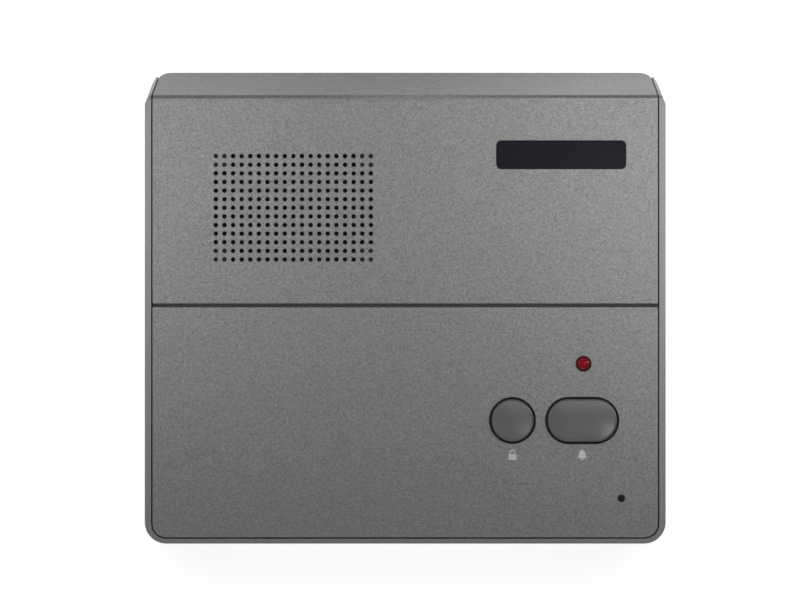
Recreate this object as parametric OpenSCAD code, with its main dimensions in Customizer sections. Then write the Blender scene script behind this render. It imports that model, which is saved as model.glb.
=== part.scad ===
// Teller window intercom: a wedge-shaped desk unit with a speaker, two push buttons, a lamp and a microphone.
// The front face is tilted towards the user. u runs right, v up the front face and w out of it.

/* [Housing] */
// Width of the housing
case_w = 170; // [166:0.5:190]
// Length of the front face, from its lower edge to the crease
face_l = 146.5; // [144:0.5:160]
// Height of the lower edge of the front face above the underside
front_h = 28; // [26:0.5:36]
// Tilt of the front face towards the user, in degrees
tilt = 8; // [6:0.5:10]
// Turn from the front face down to the rear slope, in degrees
slope_turn = 78.5; // [72:0.5:84]
// Radius of the housing corners, seen from the front
corner_r = 7; // [5:0.5:10]
// Thickness of the side walls, which show as a rim
rim_t = 2.1; // [1.8:0.1:2.6]
// Thickness of the lower wall, which shows as a rim
lower_rim_t = 1.6; // [1.4:0.1:2.6]
// Width of the bevel on the rear edge of the side walls
bevel_w = 1.6; // [0.8:0.1:1.7]
// Depth of this bevel below the rear slope
bevel_deep = 2.5; // [1:0.1:3.5]
// Thickness of the floor
floor_t = 2.2; // [1.8:0.1:3]
// Radius of the bend above the front face
bend_r = 3.35; // [2.5:0.05:4]
// Part of the bend that is round before the crease, in degrees
bend_turn = 60; // [45:1:65]

/* [Covers] */
// Thickness of both cover panels
cover_t = 2.2; // [1.8:0.1:2.6]
// Gap between the covers and the rim
cover_gap = 0.45; // [0.3:0.05:0.7]
// Radius of the rear corners of the speaker cover
flap_corner_r = 4; // [3:0.5:5]
// Share of the front face that the lower cover takes
seam_share = 0.5263; // [0.515:0.0001:0.54]
// Width of the groove between the covers
seam_w = 1.3; // [0.5:0.1:1.5]
// Depth of the groove between the covers
seam_deep = 1.8; // [0.8:0.1:2]
// Length of the tongue of the lower cover under the upper one
tongue_l = 4.4; // [3:0.1:5]
// Thickness of the tongue
tongue_t = 1.2; // [1:0.1:1.6]
// Depth of the stiffening skirts below the covers
skirt_h = 4; // [2:0.5:6]
// Thickness of the stiffening skirts
skirt_t = 1.4; // [1:0.1:2]

/* [Grille] */
// Grille centre from the left side of the housing
grille_side = 48.5; // [47:0.5:51]
// Share of the front face below the grille centre
grille_share = 0.7481; // [0.74:0.0001:0.76]
// Columns of holes
grille_columns = 19; // [15:2:19]
// Rows of holes
grille_rows = 13; // [9:2:13]
// Distance between neighbouring holes
grille_pitch = 2.81; // [2.6:0.01:2.9]
// Diameter of one hole
grille_hole_d = 1.53; // [1.2:0.01:1.8]

/* [Label plate] */
// Length of the label plate
label_l = 42.3; // [36:0.1:48]
// Height of the label plate
label_h = 9.3; // [7:0.1:12]
// Thickness of the label plate
label_t = 0.6; // [0.5:0.05:0.8]
// Depth of the seat of the label plate
label_seat = 0.5; // [0.3:0.05:0.8]
// Corner radius of the label plate
label_r = 1.6; // [0.8:0.1:2.5]
// Label centre from the right side of the housing
label_side = 34.1; // [30:0.1:40]
// Label centre below the crease
label_below = 19.6; // [14:0.1:26]

/* [Buttons] */
// Diameter of the round privacy button
privacy_d = 13.9; // [12:0.1:14.5]
// Width of the oval call button
call_w = 22.8; // [20:0.1:23.4]
// Height of the oval call button
call_h = 14; // [12:0.1:14.6]
// Gap around each button in its hole
button_gap = 0.7; // [0.3:0.05:0.9]
// Height of the buttons above the face
button_proud = 1.8; // [1.2:0.1:2.5]
// Travel of the buttons
button_travel = 2; // [1:0.1:2.2]
// Privacy button centre from the right side of the housing
privacy_side = 50; // [49:0.1:52]
// Call button centre from the right side of the housing
call_side = 27.25; // [26:0.05:28]
// Distance of both button centres below the groove
button_below = 36.9; // [35:0.1:39]
// Rounding of the button edges
button_edge_r = 0.9; // [0.5:0.1:1.2]
// Height of the crown of the buttons
crown_h = 0.6; // [0.2:0.05:0.8]

/* [Lamp and microphone] */
// Diameter of the lamp
led_d = 5; // [3:0.1:5.5]
// Height of the lamp above the face
led_proud = 1.7; // [1:0.1:2.5]
// Lamp centre from the right side of the housing
led_side = 26.8; // [25:0.1:29]
// Lamp centre below the groove
led_below = 18.4; // [17:0.1:21]
// Diameter of the microphone hole
mic_hole_d = 2.4; // [1.5:0.1:3]
// Microphone centre from the right side of the housing
mic_side = 14.5; // [13:0.1:16]
// Microphone centre above the lower edge
mic_v = 14.7; // [13.5:0.1:17]
// Diameter of the microphone capsule
mic_d = 9.5; // [6:0.1:9.8]
// Length of the microphone capsule
mic_l = 5; // [4:0.1:6.5]

/* [Speaker] */
// Outer diameter of the speaker
speaker_d = 50; // [46:0.5:50.5]
// Depth of the speaker frame below its flange
frame_deep = 9.5; // [8:0.5:12]
// Diameter of the magnet
magnet_d = 28; // [22:0.5:32]
// Thickness of the magnet
magnet_t = 6; // [4:0.5:9]
// Thickness of the foam gasket
gasket_t = 3; // [2.4:0.1:4]

/* [Boards] */
// Thickness of the circuit boards
board_t = 1.6; // [1:0.1:2]
// Depth of the main board below the front face
board_w = 14; // [13.6:0.1:15]
// Height of the socket board above the underside
socket_z = 13; // [12:0.5:14]
// Height of the volume board above the underside
volume_z = 11; // [10.5:0.1:11.5]

/* [Side controls] */
// Diameter of the volume thumbwheels
wheel_d = 16; // [15:0.1:16.4]
// Thickness of the volume thumbwheels
wheel_t = 2.6; // [2:0.1:3.2]
// Travel of the power switch
switch_travel = 4; // [2:0.1:4.5]
// Bore of the power jack
power_bore_d = 6.3; // [5.5:0.1:6.5]
// Bore of the line jack
line_bore_d = 3.6; // [3.5:0.05:3.8]

/* [Screws and feet] */
// Outer diameter of the screw threads
screw_d = 2.9; // [2.5:0.1:3.2]
// Radial gap around a thread in its pilot hole
thread_gap = 0.05; // [0.03:0.01:0.1]
// Diameter of the case screw heads
head_d = 5.6; // [5:0.1:6]
// Height of the case screw heads
head_h = 2.2; // [1.6:0.1:2.6]
// Length of the case screws below the head
case_screw_l = 14; // [10:1:16]
// Diameter of the rubber feet
foot_d = 12; // [8:0.5:14]
// Height of the rubber feet below the housing
foot_h = 2.5; // [1.5:0.1:4]

/* [Hidden] */

$fn = 48;
eps = 0.01;          // overlap of pieces that are joined into one solid
big = 400;           // larger than the object

// Housing profile, in the plane of v and w
bend_drop = bend_r * (1 - cos(bend_turn));
bend_run = bend_r * sin(bend_turn);
slope_angle = slope_turn - tilt;                       // steepness of the rear slope above the table
slope_l = (front_h + face_l * sin(tilt) - bend_drop * cos(tilt)) / sin(slope_angle);
slope_at_face = face_l - bend_drop / tan(slope_turn);   // where the slope's plane meets the face's plane
back_v = face_l + slope_l * cos(slope_turn);
back_w = -bend_drop - slope_l * sin(slope_turn);
depth = back_v * cos(tilt) - back_w * sin(tilt);       // whole depth on the table
half_w = case_w / 2;
wall_u = half_w - rim_t;                               // inner face of the side walls
cover_u = wall_u - cover_gap;                          // side edges of the covers
cover_inset = rim_t + cover_gap;
flap_clear = 0.4;                                      // rear flap above the underside
flap_foot = cover_t / sin(slope_angle) + floor_t / tan(slope_angle) + cover_gap;
floor_back = depth - flap_foot;                        // rear edge of the floor
mid_y = (depth - flap_clear / tan(slope_angle)) / 2;    // middle of the footprint
wall_back = depth - 3.2;                               // rear end of the side walls
seam_v = face_l * seam_share;                          // groove above the lower edge

// Places on the front face
grille_u = grille_side - half_w;
grille_v = face_l * grille_share;
label_u = half_w - label_side;
label_v = face_l - label_below;
privacy_u = half_w - privacy_side;
call_u = half_w - call_side;
button_v = seam_v - button_below;
led_u = half_w - led_side;
led_v = seam_v - led_below;
mic_u = half_w - mic_side;
mark_v = button_v - 11.2;                              // pictograms under the buttons
mark_h = 3.4;
mark_t = 0.06;

// Height of the outer front face above the underside, at a distance from the front
function face_z(y) = front_h + y * tan(tilt);
// Point of the tilted frame, in the frame of the base
function base_y(v, w) = v * cos(tilt) - w * sin(tilt);
function base_z(v, w) = front_h + v * sin(tilt) + w * cos(tilt);

// Case screws, as u and y from the front edge; the first four hold the button panel
screw_side_u = wall_u - 6.9;
panel_screw_y = seam_v - 4.1;
panel_screws = [
    [-screw_side_u, 28], [screw_side_u, 28],
    [45 - half_w, panel_screw_y], [half_w - 45, panel_screw_y]
];
cover_screw_y = depth - 22.7;
cover_screws = [[25 - half_w, cover_screw_y], [half_w - 25, cover_screw_y]];
boss_d = 7;                                            // cover bosses
base_boss_d = 8.6;                                     // base bosses
base_boss_h = 7;
counterbore_d = head_d + 0.8;
counterbore_h = 4.4;
pilot_d = screw_d + 2 * thread_gap;
pilot_l = 12;

// Grille and speaker
speaker_boss_d = 6.4;
boss_reach = speaker_d / 2 + speaker_boss_d / 2 + 0.25; // bosses just clear of the speaker
boss_turn = atan2(grille_rows - 2, grille_columns - 2); // towards the corner holes, which they close
boss_u = boss_reach * cos(boss_turn);
boss_v = boss_reach * sin(boss_turn);
cloth_t = 0.3;
flange_t = 0.8;
flange_top = -cover_t - cloth_t - gasket_t;            // front of the speaker flange
speaker_boss_end = flange_top - flange_t;
frame_back = flange_top - frame_deep;
surround_r = speaker_d / 2 - 3.2;
coil_r = 5;
plate_t = 1.2;
magnet_top = frame_back - plate_t;
yoke_t = 1.4;
pole_r = 4.3;
pole_top = frame_back - 0.2;
magnet_back = magnet_top - magnet_t;
clamp_d = 9.5;
clamp_t = 0.8;
small_screw_d = 2.4;
small_head_d = 4.4;
small_head_h = 1.7;
small_pilot_d = small_screw_d + 2 * thread_gap;

// Buttons and switches
privacy_hole_r = privacy_d / 2 + button_gap;
call_hole_r = call_h / 2 + button_gap;
call_half = (call_w - call_h) / 2;                     // from the centre to the centre of the round ends
sleeve_h = 1.3;
sleeve_t = 0.9;
flange_out = 0.8;                                      // retaining flange beyond the hole
flange_h = 1;
flange_w = -cover_t - sleeve_h - 0.1;                  // upper face of the retaining flange at rest
cap_skin = 1.6;
socket_r = 2.6;
plunger_s = 3.2;                                       // side of the square plunger
plunger_gap = 0.05;
plunger_top = -0.9;
plunger_end = -8.6;
switch_s = 8.5;
switch_top = -7.6;
plunger_well = plunger_end - button_travel - 0.3;
spring_r = 3.25;
spring_wire_d = 0.5;
spring_turns = 5;
spring_top = button_proud - cap_skin - crown_h - 0.1;

// Lamp and microphone
led_gap = 0.1;
led_flange_r = led_d / 2 + 0.45;
led_flange_t = 1;
led_h = 8.6;
led_bottom = led_proud - led_h;
lead_s = 0.5;
lead_pitch = 2.54;
mic_boot_t = 0.7;
mic_holder_t = 1.3;
mic_front = -cover_t - 0.8;
mic_holder_h = 6;

// Main board, in the tilted frame
board_u0 = 22.9 - wall_u;
board_u1 = wall_u - 16.9;
board_v0 = 8;
board_v1 = seam_v - 11.1;
boss_in = 5;                                           // boss centres from the board's edges
board_bosses = [
    [board_u0 + boss_in, board_v0 + boss_in], [board_u0 + boss_in, board_v1 - boss_in],
    [board_u1 - boss_in, board_v0 + boss_in], [board_u1 - 22, board_v1 - boss_in]
];
board_boss_d = 6;
solder_l = 1.6;                                        // pins below the boards
// Place on the main board, from shares of its length and height
function board_place(p) = [
    board_u0 + p[0] * (board_u1 - board_u0), board_v0 + p[1] * (board_v1 - board_v0)
];
voice_chip_at = board_place([0.333, 0.586]);
voice_pins = 14;                                       // pins in each row
amplifier_chip_at = board_place([0.54, 0.207]);
amplifier_pins = 8;
chip_w = 6.4;
chip_h = 3.4;
chip_stand = 0.5;
pin_pitch = 2.54;
pin_row = 3.81;                                        // rows from the middle of the chip
// Upright cans: place, diameter and height
cans = [
    [[0.079, 0.724], 8, 10.6], [[0.079, 0.517], 8, 10.6], [[0.147, 0.793], 6.3, 10],
    [[0.591, 0.741], 10, 10.8], [[0.683, 0.207], 6.3, 10], [[0.746, 0.103], 6.3, 10]
];
films = [[0.127, 0.31], [0.238, 0.31], [0.349, 0.31], [0.46, 0.379], [0.635, 0.483], [0.69, 0.845]];
resistor_row = 0.129;
resistor_shares = [for (i = [0:7]) 0.087 + 0.0444 * i];
trimmer_places = [[0.214, 0.793], [0.278, 0.793]];
sink_at = board_place([0.46, 0.81]);
sink_h = 10.8;
// Wire headers: the speaker's opens to the rear and the microphone's to the right
speaker_header = [board_u0 + 0.333 * (board_u1 - board_u0), board_v1 - 4];
mic_header = [board_u1 - 4, board_v0 + 16];
header_h = 5.4;
header_hole_w = -board_w + 2.6;

// Side boards, on the base
socket_u0 = -wall_u + 1.4;
socket_u1 = socket_u0 + 18;
socket_y0 = 66;
socket_y1 = depth - 27.2;
power_y = depth - 32.2;
power_z = socket_z + 6.5;
line_y = power_y - 24.5;
line_z = socket_z + 3.2;
line_l = 14.9;                                         // rear end of the line jack from the wall
switch_y = 77.5;
switch_z = socket_z + 2.2;
switch_l = 12.4;
knob_l = 3.6;
knob_h = 1.8;
volume_u0 = wall_u - 22.9;
volume_u1 = wall_u - 0.7;
volume_y0 = 40;
volume_y1 = 72;
wheel_recess = 0.2;                                    // wheel rim inside the side of the housing
wheel_u = half_w - wheel_recess - wheel_d / 2;
wheel_z = 17;
talk_y = 50.1;
listen_y = 67.2;
pot_d = 11;
pot_l = 4.5;
pot_gap = 0.3;
shaft_d = 3.8;
shaft_gap = 0.05;
slot_gap = 0.7;
scoop_r = 12;
scoop_deep = 1.1;
side_boss_d = 6;
post_in = 3.2;                                         // posts from the inner edges of the side boards
socket_posts = [for (y = [socket_y0 + 4, line_y - 12, power_y - 12.5]) [socket_u1 - post_in, y]];
volume_posts = [for (y = [volume_y0 + 3.6, volume_y1 - 3.6]) [volume_u0 + post_in, y]];
wheel_screw_d = 1.6;
wheel_screw_head_d = 3.4;

// Feet and wall slots
foot_seat = 0.6;
foot_places = [for (u = [16 - half_w, half_w - 16], y = [14.5, depth - 15.2]) [u, y]];
keyhole_u = 30;
keyhole_y = 96;
keyhole_d = 4.2;
keyhole_entry_d = 8.4;
keyhole_l = 9;

case_grey = [0.47, 0.465, 0.46];
cap_grey = [0.36, 0.36, 0.36];
board_green = [0.1, 0.36, 0.2];
steel = [0.72, 0.72, 0.73];
chip_black = [0.09, 0.09, 0.1];

// ---------------------------------------------------------------- frames

module base() {
    translate([0, -mid_y, foot_h]) children();
}

module face() {
    base() translate([0, 0, front_h]) rotate([tilt, 0, 0]) children();
}

// Copies in both signs of u and v
module four(u, v) {
    for (a = [-1, 1], b = [-1, 1]) translate([a * u, b * v, 0]) children();
}

// A bar from a lower height z0 up to z1
module rod(d, z0, z1) {
    translate([0, 0, z0]) cylinder(d = d, h = z1 - z0);
}

module ring(d_out, d_in, z0, z1) {
    difference() {
        rod(d_out, z0, z1);
        rod(d_in, z0 - 1, z1 + 1);
    }
}

// A box given by its lowest and highest corners
module block(a, b) {
    translate(a) cube(b - a);
}

// A rectangle with round corners, centred
module round_rect(l, h, r) {
    for (x = [r - l / 2, l / 2 - r], y = [r - h / 2, h / 2 - r]) translate([x, y]) circle(r);
    square([l - 2 * r, h], center = true);
    square([l, h - 2 * r], center = true);
}

// A stadium outline, with half the distance between its round ends
module stadium(half, r) {
    for (s = [-1, 1]) translate([s * half, 0]) circle(r);
    square([2 * half, 2 * r], center = true);
}

// ---------------------------------------------------------------- housing envelope

// The side profile in v and w, with its outer skin moved in by t
module profile(t) {
    arc = [for (a = [0:6:bend_turn]) [face_l - bend_run + bend_r * sin(a), bend_r * (cos(a) - 1)]];
    outer = concat([[0, 0]], arc, [[back_v, back_w], [0, -front_h / cos(tilt)]]);
    // the inner skin runs parallel to the face and to the slope, and meets in one corner
    shift = t / sin(slope_turn);
    corner_v = slope_at_face - shift + t / tan(slope_turn);
    deep = front_h * 4;
    inner = [
        [-big, -t], [corner_v, -t],
        [corner_v + deep * cos(slope_turn), -t - deep * sin(slope_turn)], [-big, -big]
    ];
    if (t == 0) polygon(outer);
    else polygon(inner);
}

// The profile drawn along u
module profile_solid(t, half) {
    rotate([90, 0, 90]) translate([0, 0, -half]) linear_extrude(2 * half) profile(t);
}

// The outline seen from the front, moved in at the sides and at the lower edge, open towards the rear
// and drawn along w
module front_prism(side, lower, r) {
    u = half_w - side;
    translate([0, 0, -big / 2]) linear_extrude(big) {
        for (s = [-1, 1]) translate([s * (u - r), lower + r]) circle(r);
        translate([r - u, lower]) square([2 * (u - r), big]);
        translate([-u, lower + r]) square([2 * u, big]);
    }
}

// The outline seen from above, open towards the front, drawn upwards
module rear_prism(u, y, r) {
    translate([0, 0, -big / 2]) linear_extrude(big) {
        for (s = [-1, 1]) translate([s * (u - r), y - r]) circle(r);
        translate([r - u, -big / 2]) square([2 * (u - r), y + big / 2]);
        translate([-u, -big / 2]) square([2 * u, y - r + big / 2]);
    }
}

// ---------------------------------------------------------------- shells

module base_shell() {
    color(case_grey) difference() {
        union() {
            difference() {
                intersection() {
                    face() profile_solid(0, half_w);
                    face() front_prism(0, 0, corner_r);
                    base() rear_prism(half_w, depth, corner_r);
                }
                // the inside, open to the front and to the rear
                intersection() {
                    face() front_prism(rim_t, lower_rim_t, corner_r - rim_t);
                    base() block([-big, -big, floor_t], [big, big, big]);
                }
                base() block([-wall_u, floor_back, -1], [wall_u, big, big]);
                base() block([-big, wall_back, -1], [big, big, big]);
                rear_bevels();
            }
            base() for (p = concat(panel_screws, cover_screws)) {
                translate([p[0], p[1], 0]) rod(base_boss_d, floor_t - eps, base_boss_h);
            }
            base() for (p = socket_posts) {
                translate([p[0], p[1], 0]) rod(side_boss_d, floor_t - eps, socket_z - board_t);
            }
            base() for (p = volume_posts) {
                translate([p[0], p[1], 0]) rod(side_boss_d, floor_t - eps, volume_z - board_t);
            }
        }
        base() {
            for (p = concat(panel_screws, cover_screws)) translate([p[0], p[1], 0]) {
                rod(counterbore_d, -1, counterbore_h);
                rod(screw_d + 0.5, 0, base_boss_h + 1);
            }
            for (p = socket_posts) translate([p[0], p[1], 0]) rod(small_pilot_d, floor_t, socket_z);
            for (p = volume_posts) translate([p[0], p[1], 0]) rod(small_pilot_d, floor_t, volume_z);
            for (p = foot_places) translate([p[0], p[1], 0]) rod(foot_d + 0.4, -1, foot_seat);
            keyholes();
            side_openings();
        }
    }
}

// Wedges off the outer rear edges of the side walls, along the slope
module rear_bevels() {
    face() translate([0, slope_at_face, 0]) rotate([90 - slope_turn, 0, 0]) {
        for (s = [-1, 1]) translate([0, 0, -slope_l - 10]) linear_extrude(slope_l + 20) polygon([
            [s * (half_w - 1.5 * bevel_w), 0.5 * bevel_deep],
            [s * (half_w + 0.5 * bevel_w), 0.5 * bevel_deep],
            [s * (half_w + 0.5 * bevel_w), -1.5 * bevel_deep]
        ]);
    }
}

// Two keyholes in the floor, for hanging the unit on two screws
module keyholes() {
    for (s = [-1, 1]) translate([s * keyhole_u, keyhole_y, -1]) {
        cylinder(d = keyhole_entry_d, h = floor_t + 2);
        linear_extrude(floor_t + 2) {
            translate([0, keyhole_l]) circle(d = keyhole_d);
            translate([-keyhole_d / 2, 0]) square([keyhole_d, keyhole_l]);
        }
    }
}

// Openings in the side walls for the sockets, the slide switch and the thumbwheels
module side_openings() {
    for (hole = [[power_y, power_z, power_bore_d + 2], [line_y, line_z, line_bore_d + 2.6]]) {
        translate([-half_w - 1, hole[0], hole[1]]) rotate([0, 90, 0]) cylinder(d = hole[2], h = rim_t + 2);
    }
    slot_l = knob_l + switch_travel + 1.6;
    block([-half_w - 1, switch_y - slot_l / 2, switch_z - 1.7],
        [-wall_u + 1, switch_y + slot_l / 2, switch_z + 1.7]);
    side_scoop(-1, switch_y, switch_z, slot_l + 4);
    for (y = [talk_y, listen_y]) {
        block([wall_u - 1, y - wheel_t / 2 - slot_gap, wheel_z - 6.6],
            [half_w + 1, y + wheel_t / 2 + slot_gap, wheel_z + 6.6]);
        side_scoop(1, y, wheel_z, wheel_t + 9);
    }
}

// A shallow finger hollow across a side wall
module side_scoop(side, y, z, l) {
    translate([side * (half_w + scoop_r - scoop_deep), y + l / 2, z]) {
        rotate([90, 0, 0]) cylinder(r = scoop_r, h = l);
    }
}

// The skin shared by both covers, from v0 up to v1
module cover_skin(v0, v1) {
    intersection() {
        difference() {
            face() profile_solid(0, cover_u);
            face() profile_solid(cover_t, big);
        }
        face() front_prism(cover_inset, lower_rim_t + cover_gap, corner_r - cover_inset);
        base() rear_prism(cover_u, depth, flap_corner_r);
        base() block([-big, -big, flap_clear], [big, big, big]);
        face() block([-big, v0, -big], [big, v1, big]);
    }
}

// Stiffening skirts along both side edges, from v0 to v1
module side_skirts(v0, v1) {
    for (s = [-1, 1]) {
        a = s > 0 ? cover_u - skirt_t : -cover_u;
        face() block([a, v0, -cover_t - skirt_h], [a + skirt_t, v1, -cover_t + eps]);
    }
}

// Upright bosses that the case screws go into
module cover_bosses(places) {
    base() for (p = places) translate([p[0], p[1], 0]) {
        rod(boss_d, base_boss_h, face_z(p[1]) - cover_t / 2);
    }
}

module boss_pilots(places) {
    base() for (p = places) translate([p[0], p[1], 0]) rod(pilot_d, base_boss_h - 1, base_boss_h + pilot_l);
}

module speaker_cover() {
    color(case_grey) difference() {
        union() {
            cover_skin(seam_v + seam_w, big);
            side_skirts(seam_v + seam_w + 6, face_l - 8);
            cover_bosses(cover_screws);
            face() translate([grille_u, grille_v, 0]) {
                four(boss_u, boss_v) rod(speaker_boss_d, speaker_boss_end, -cover_t + eps);
            }
        }
        boss_pilots(cover_screws);
        face() translate([grille_u, grille_v, 0]) {
            grille_holes();
            four(boss_u, boss_v) rod(small_pilot_d, speaker_boss_end - 1, -cover_t - 0.4);
        }
        face() translate([label_u, label_v, -label_seat]) linear_extrude(5) {
            round_rect(label_l + 0.2, label_h + 0.2, label_r + 0.1);
        }
    }
}

// The rows and columns of the grille; the holes in front of a boss end at the boss
module grille_holes() {
    for (i = [0:grille_columns - 1], j = [0:grille_rows - 1]) {
        x = (i - (grille_columns - 1) / 2) * grille_pitch;
        y = (j - (grille_rows - 1) / 2) * grille_pitch;
        translate([x, y, -cover_t]) cylinder(d = grille_hole_d, h = cover_t + 1, $fn = 24);
    }
}

module button_panel() {
    color(case_grey) difference() {
        union() {
            cover_skin(-1, seam_v);
            side_skirts(cover_inset + corner_r, seam_v);
            // tongue under the groove and under the speaker cover
            face() {
                low = -cover_t - tongue_t;
                block([2 - cover_u, seam_v - 4, low], [cover_u - 2, seam_v - eps, -cover_t + eps]);
                block([2 - cover_u, seam_v - 2, low], [cover_u - 2, seam_v + tongue_l, -cover_t]);
                block([-cover_u, seam_v - eps, -cover_t - eps],
                    [cover_u, seam_v + seam_w - 0.05, -seam_deep]);
            }
            cover_bosses(panel_screws);
            face() {
                translate([privacy_u, button_v, 0]) {
                    rod(2 * (privacy_hole_r + sleeve_t), -cover_t - sleeve_h, -cover_t + eps);
                }
                translate([call_u, button_v, -cover_t - sleeve_h]) linear_extrude(sleeve_h + eps) {
                    stadium(call_half, call_hole_r + sleeve_t);
                }
                translate([led_u, led_v, 0]) rod(led_d + 3, led_bottom + led_flange_t + 0.1, -cover_t + eps);
                translate([mic_u, mic_v, 0]) {
                    ring(mic_d + 2 * (mic_boot_t + mic_holder_t) + 0.2, mic_d + 2 * mic_boot_t + 0.2,
                        -cover_t - mic_holder_h, -cover_t + eps);
                }
                for (p = board_bosses) translate([p[0], p[1], 0]) rod(board_boss_d, -board_w, -cover_t + eps);
            }
        }
        boss_pilots(panel_screws);
        face() {
            translate([privacy_u, button_v, 0]) rod(2 * privacy_hole_r, -20, 5);
            translate([call_u, button_v, -20]) linear_extrude(25) stadium(call_half, call_hole_r);
            translate([led_u, led_v, 0]) rod(led_d + 2 * led_gap, -20, 5);
            translate([mic_u, mic_v, 0]) {
                rod(mic_hole_d, -cover_t - 1, 5);
                translate([0, 0, -0.35]) cylinder(d1 = mic_hole_d, d2 = mic_hole_d + 1.4, h = 0.7);
            }
            for (p = board_bosses) translate([p[0], p[1], 0]) rod(small_pilot_d, -board_w - 1, -board_w + 8);
        }
    }
}

module label_plate() {
    color([0.09, 0.09, 0.13]) face() translate([label_u, label_v, -label_seat]) linear_extrude(label_t) {
        round_rect(label_l, label_h, label_r);
    }
}

// A padlock under the privacy button and a bell under the call button, printed on the face
module button_marks() {
    color([0.8, 0.8, 0.8]) face() {
        translate([privacy_u, mark_v, 0]) linear_extrude(mark_t) padlock();
        translate([call_u, mark_v, 0]) linear_extrude(mark_t) bell();
    }
}

module padlock() {
    translate([-1.3, -mark_h / 2]) square([2.6, 1.9]);
    translate([0, -mark_h / 2 + 1.9]) difference() {
        union() {
            translate([0, 0.5]) circle(0.95);
            translate([-0.95, 0]) square([1.9, 0.5]);
        }
        translate([0, 0.5]) circle(0.6);
        translate([-0.6, -0.1]) square([1.2, 0.6]);
    }
}

module bell() {
    translate([0, 0.45]) circle(1);
    polygon([[-1, 0.45], [1, 0.45], [1.2, -0.75], [1.6, -1.1], [-1.6, -1.1], [-1.2, -0.75]]);
    translate([0, 1.5]) circle(0.28);
    difference() {
        translate([0, -1.2]) circle(0.5);
        translate([-1, -1.2]) square([2, 1]);
    }
}

module rubber_feet() {
    color([0.08, 0.08, 0.08]) base() for (p = foot_places) translate([p[0], p[1], 0]) {
        rod(foot_d, -foot_h, foot_seat);
    }
}

module case_screws() {
    color(steel) base() for (p = concat(panel_screws, cover_screws)) translate([p[0], p[1], 0]) {
        difference() {
            union() {
                rod(head_d, counterbore_h - head_h, counterbore_h);
                rod(screw_d, counterbore_h - eps, counterbore_h + case_screw_l);
            }
            cross_slot(counterbore_h - head_h, 1);
        }
    }
}

// A cross recess that starts at height z, opening downwards for 1 or upwards for -1
module cross_slot(z, way) {
    translate([0, 0, z + way * 0.25]) {
        cube([2.6, 0.6, 1.5], center = true);
        cube([0.6, 2.6, 1.5], center = true);
    }
}

// ---------------------------------------------------------------- speaker

module speaker_place() {
    face() translate([grille_u, grille_v, 0]) children();
}

module acoustic_cloth() {
    l = (grille_columns + 1) * grille_pitch;
    h = (grille_rows + 1) * grille_pitch;
    color([0.04, 0.04, 0.04]) speaker_place() difference() {
        block([-l / 2, -h / 2, -cover_t - cloth_t], [l / 2, h / 2, -cover_t]);
        four(boss_u, boss_v) {
            rod(speaker_boss_d + 0.4, -5, 0);
        }
        four(boss_u + 3, boss_v + 3) cube(9, center = true);
    }
}

module speaker_gasket() {
    color([0.12, 0.12, 0.12]) speaker_place() {
        ring(speaker_d - 0.4, speaker_d - 6, flange_top, -cover_t - cloth_t);
    }
}

module speaker_frame() {
    r = speaker_d / 2;
    color([0.3, 0.3, 0.31]) speaker_place() difference() {
        rotate_extrude($fn = 96) polygon([
            [r, flange_top], [surround_r, flange_top], [surround_r - 0.6, flange_top - flange_t],
            [magnet_d / 2 - 0.6, frame_back + 0.8], [coil_r + 1, frame_back + 0.8], [coil_r + 1, frame_back],
            [magnet_d / 2, frame_back], [surround_r, flange_top - flange_t - 0.6],
            [surround_r, flange_top - flange_t], [r, flange_top - flange_t]
        ]);
        for (i = [0:3]) rotate([0, 0, 45 + 90 * i]) {
            block([magnet_d / 2 + 1.2, -5, frame_back + 1.4], [surround_r - 1.6, 5, flange_top - 2.2]);
        }
    }
}

// Paper cone with a half-round surround glued on the flange, in one contour
module speaker_cone() {
    rim = speaker_d / 2 - 3.2;
    roll = 1.5;
    lap = 0.15;
    paper = 0.6;
    skin = 0.5;
    neck_w = frame_back + 3.6;
    middle = rim - roll;
    roll_w = flange_top + paper / 2;
    start = asin(paper / 2 / roll);
    step = (180 - 2 * start) / 12;
    below = [for (a = [0:15:180]) [middle - (roll - skin) * cos(a), roll_w + (roll - skin) * sin(a)]];
    above = [for (i = [0:12]) [middle + roll * cos(start + i * step), roll_w + roll * sin(start + i * step)]];
    color([0.13, 0.13, 0.13]) speaker_place() rotate_extrude($fn = 96) polygon(concat(
        [[coil_r + 0.3, neck_w], [middle - roll - lap, flange_top], [middle - roll + skin, flange_top]],
        below,
        [[rim - skin, flange_top], [rim + lap, flange_top], [rim + lap, flange_top + paper]],
        above,
        [[middle - roll - lap, flange_top + paper], [coil_r + 0.3, neck_w + paper]]
    ));
}

module dust_cap() {
    cap_r = coil_r + 0.2;
    rise = 1.6;
    dome_r = (cap_r * cap_r + rise * rise) / (2 * rise);
    color([0.2, 0.2, 0.2]) speaker_place() translate([0, 0, frame_back + 4.3]) rotate_extrude($fn = 48) {
        intersection() {
            translate([0, rise - dome_r]) difference() {
                circle(dome_r, $fn = 96);
                circle(dome_r - 0.4, $fn = 96);
            }
            square([cap_r, 2 * rise]);
        }
    }
}

module voice_coil() {
    color([0.7, 0.42, 0.2]) speaker_place() {
        ring(2 * coil_r + 0.5, 2 * coil_r - 0.2, frame_back - plate_t - 1.2, frame_back + 4);
    }
}

module front_plate() {
    color(steel) speaker_place() ring(magnet_d - 1, 2 * coil_r + 1.1, magnet_top, frame_back);
}

module speaker_magnet() {
    color([0.17, 0.17, 0.18]) speaker_place() ring(magnet_d, 2 * coil_r + 3, magnet_back, magnet_top);
}

module speaker_yoke() {
    color(steel) speaker_place() {
        rod(magnet_d - 1, magnet_back - yoke_t, magnet_back);
        rod(2 * pole_r, magnet_back - eps, pole_top);
    }
}

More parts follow.
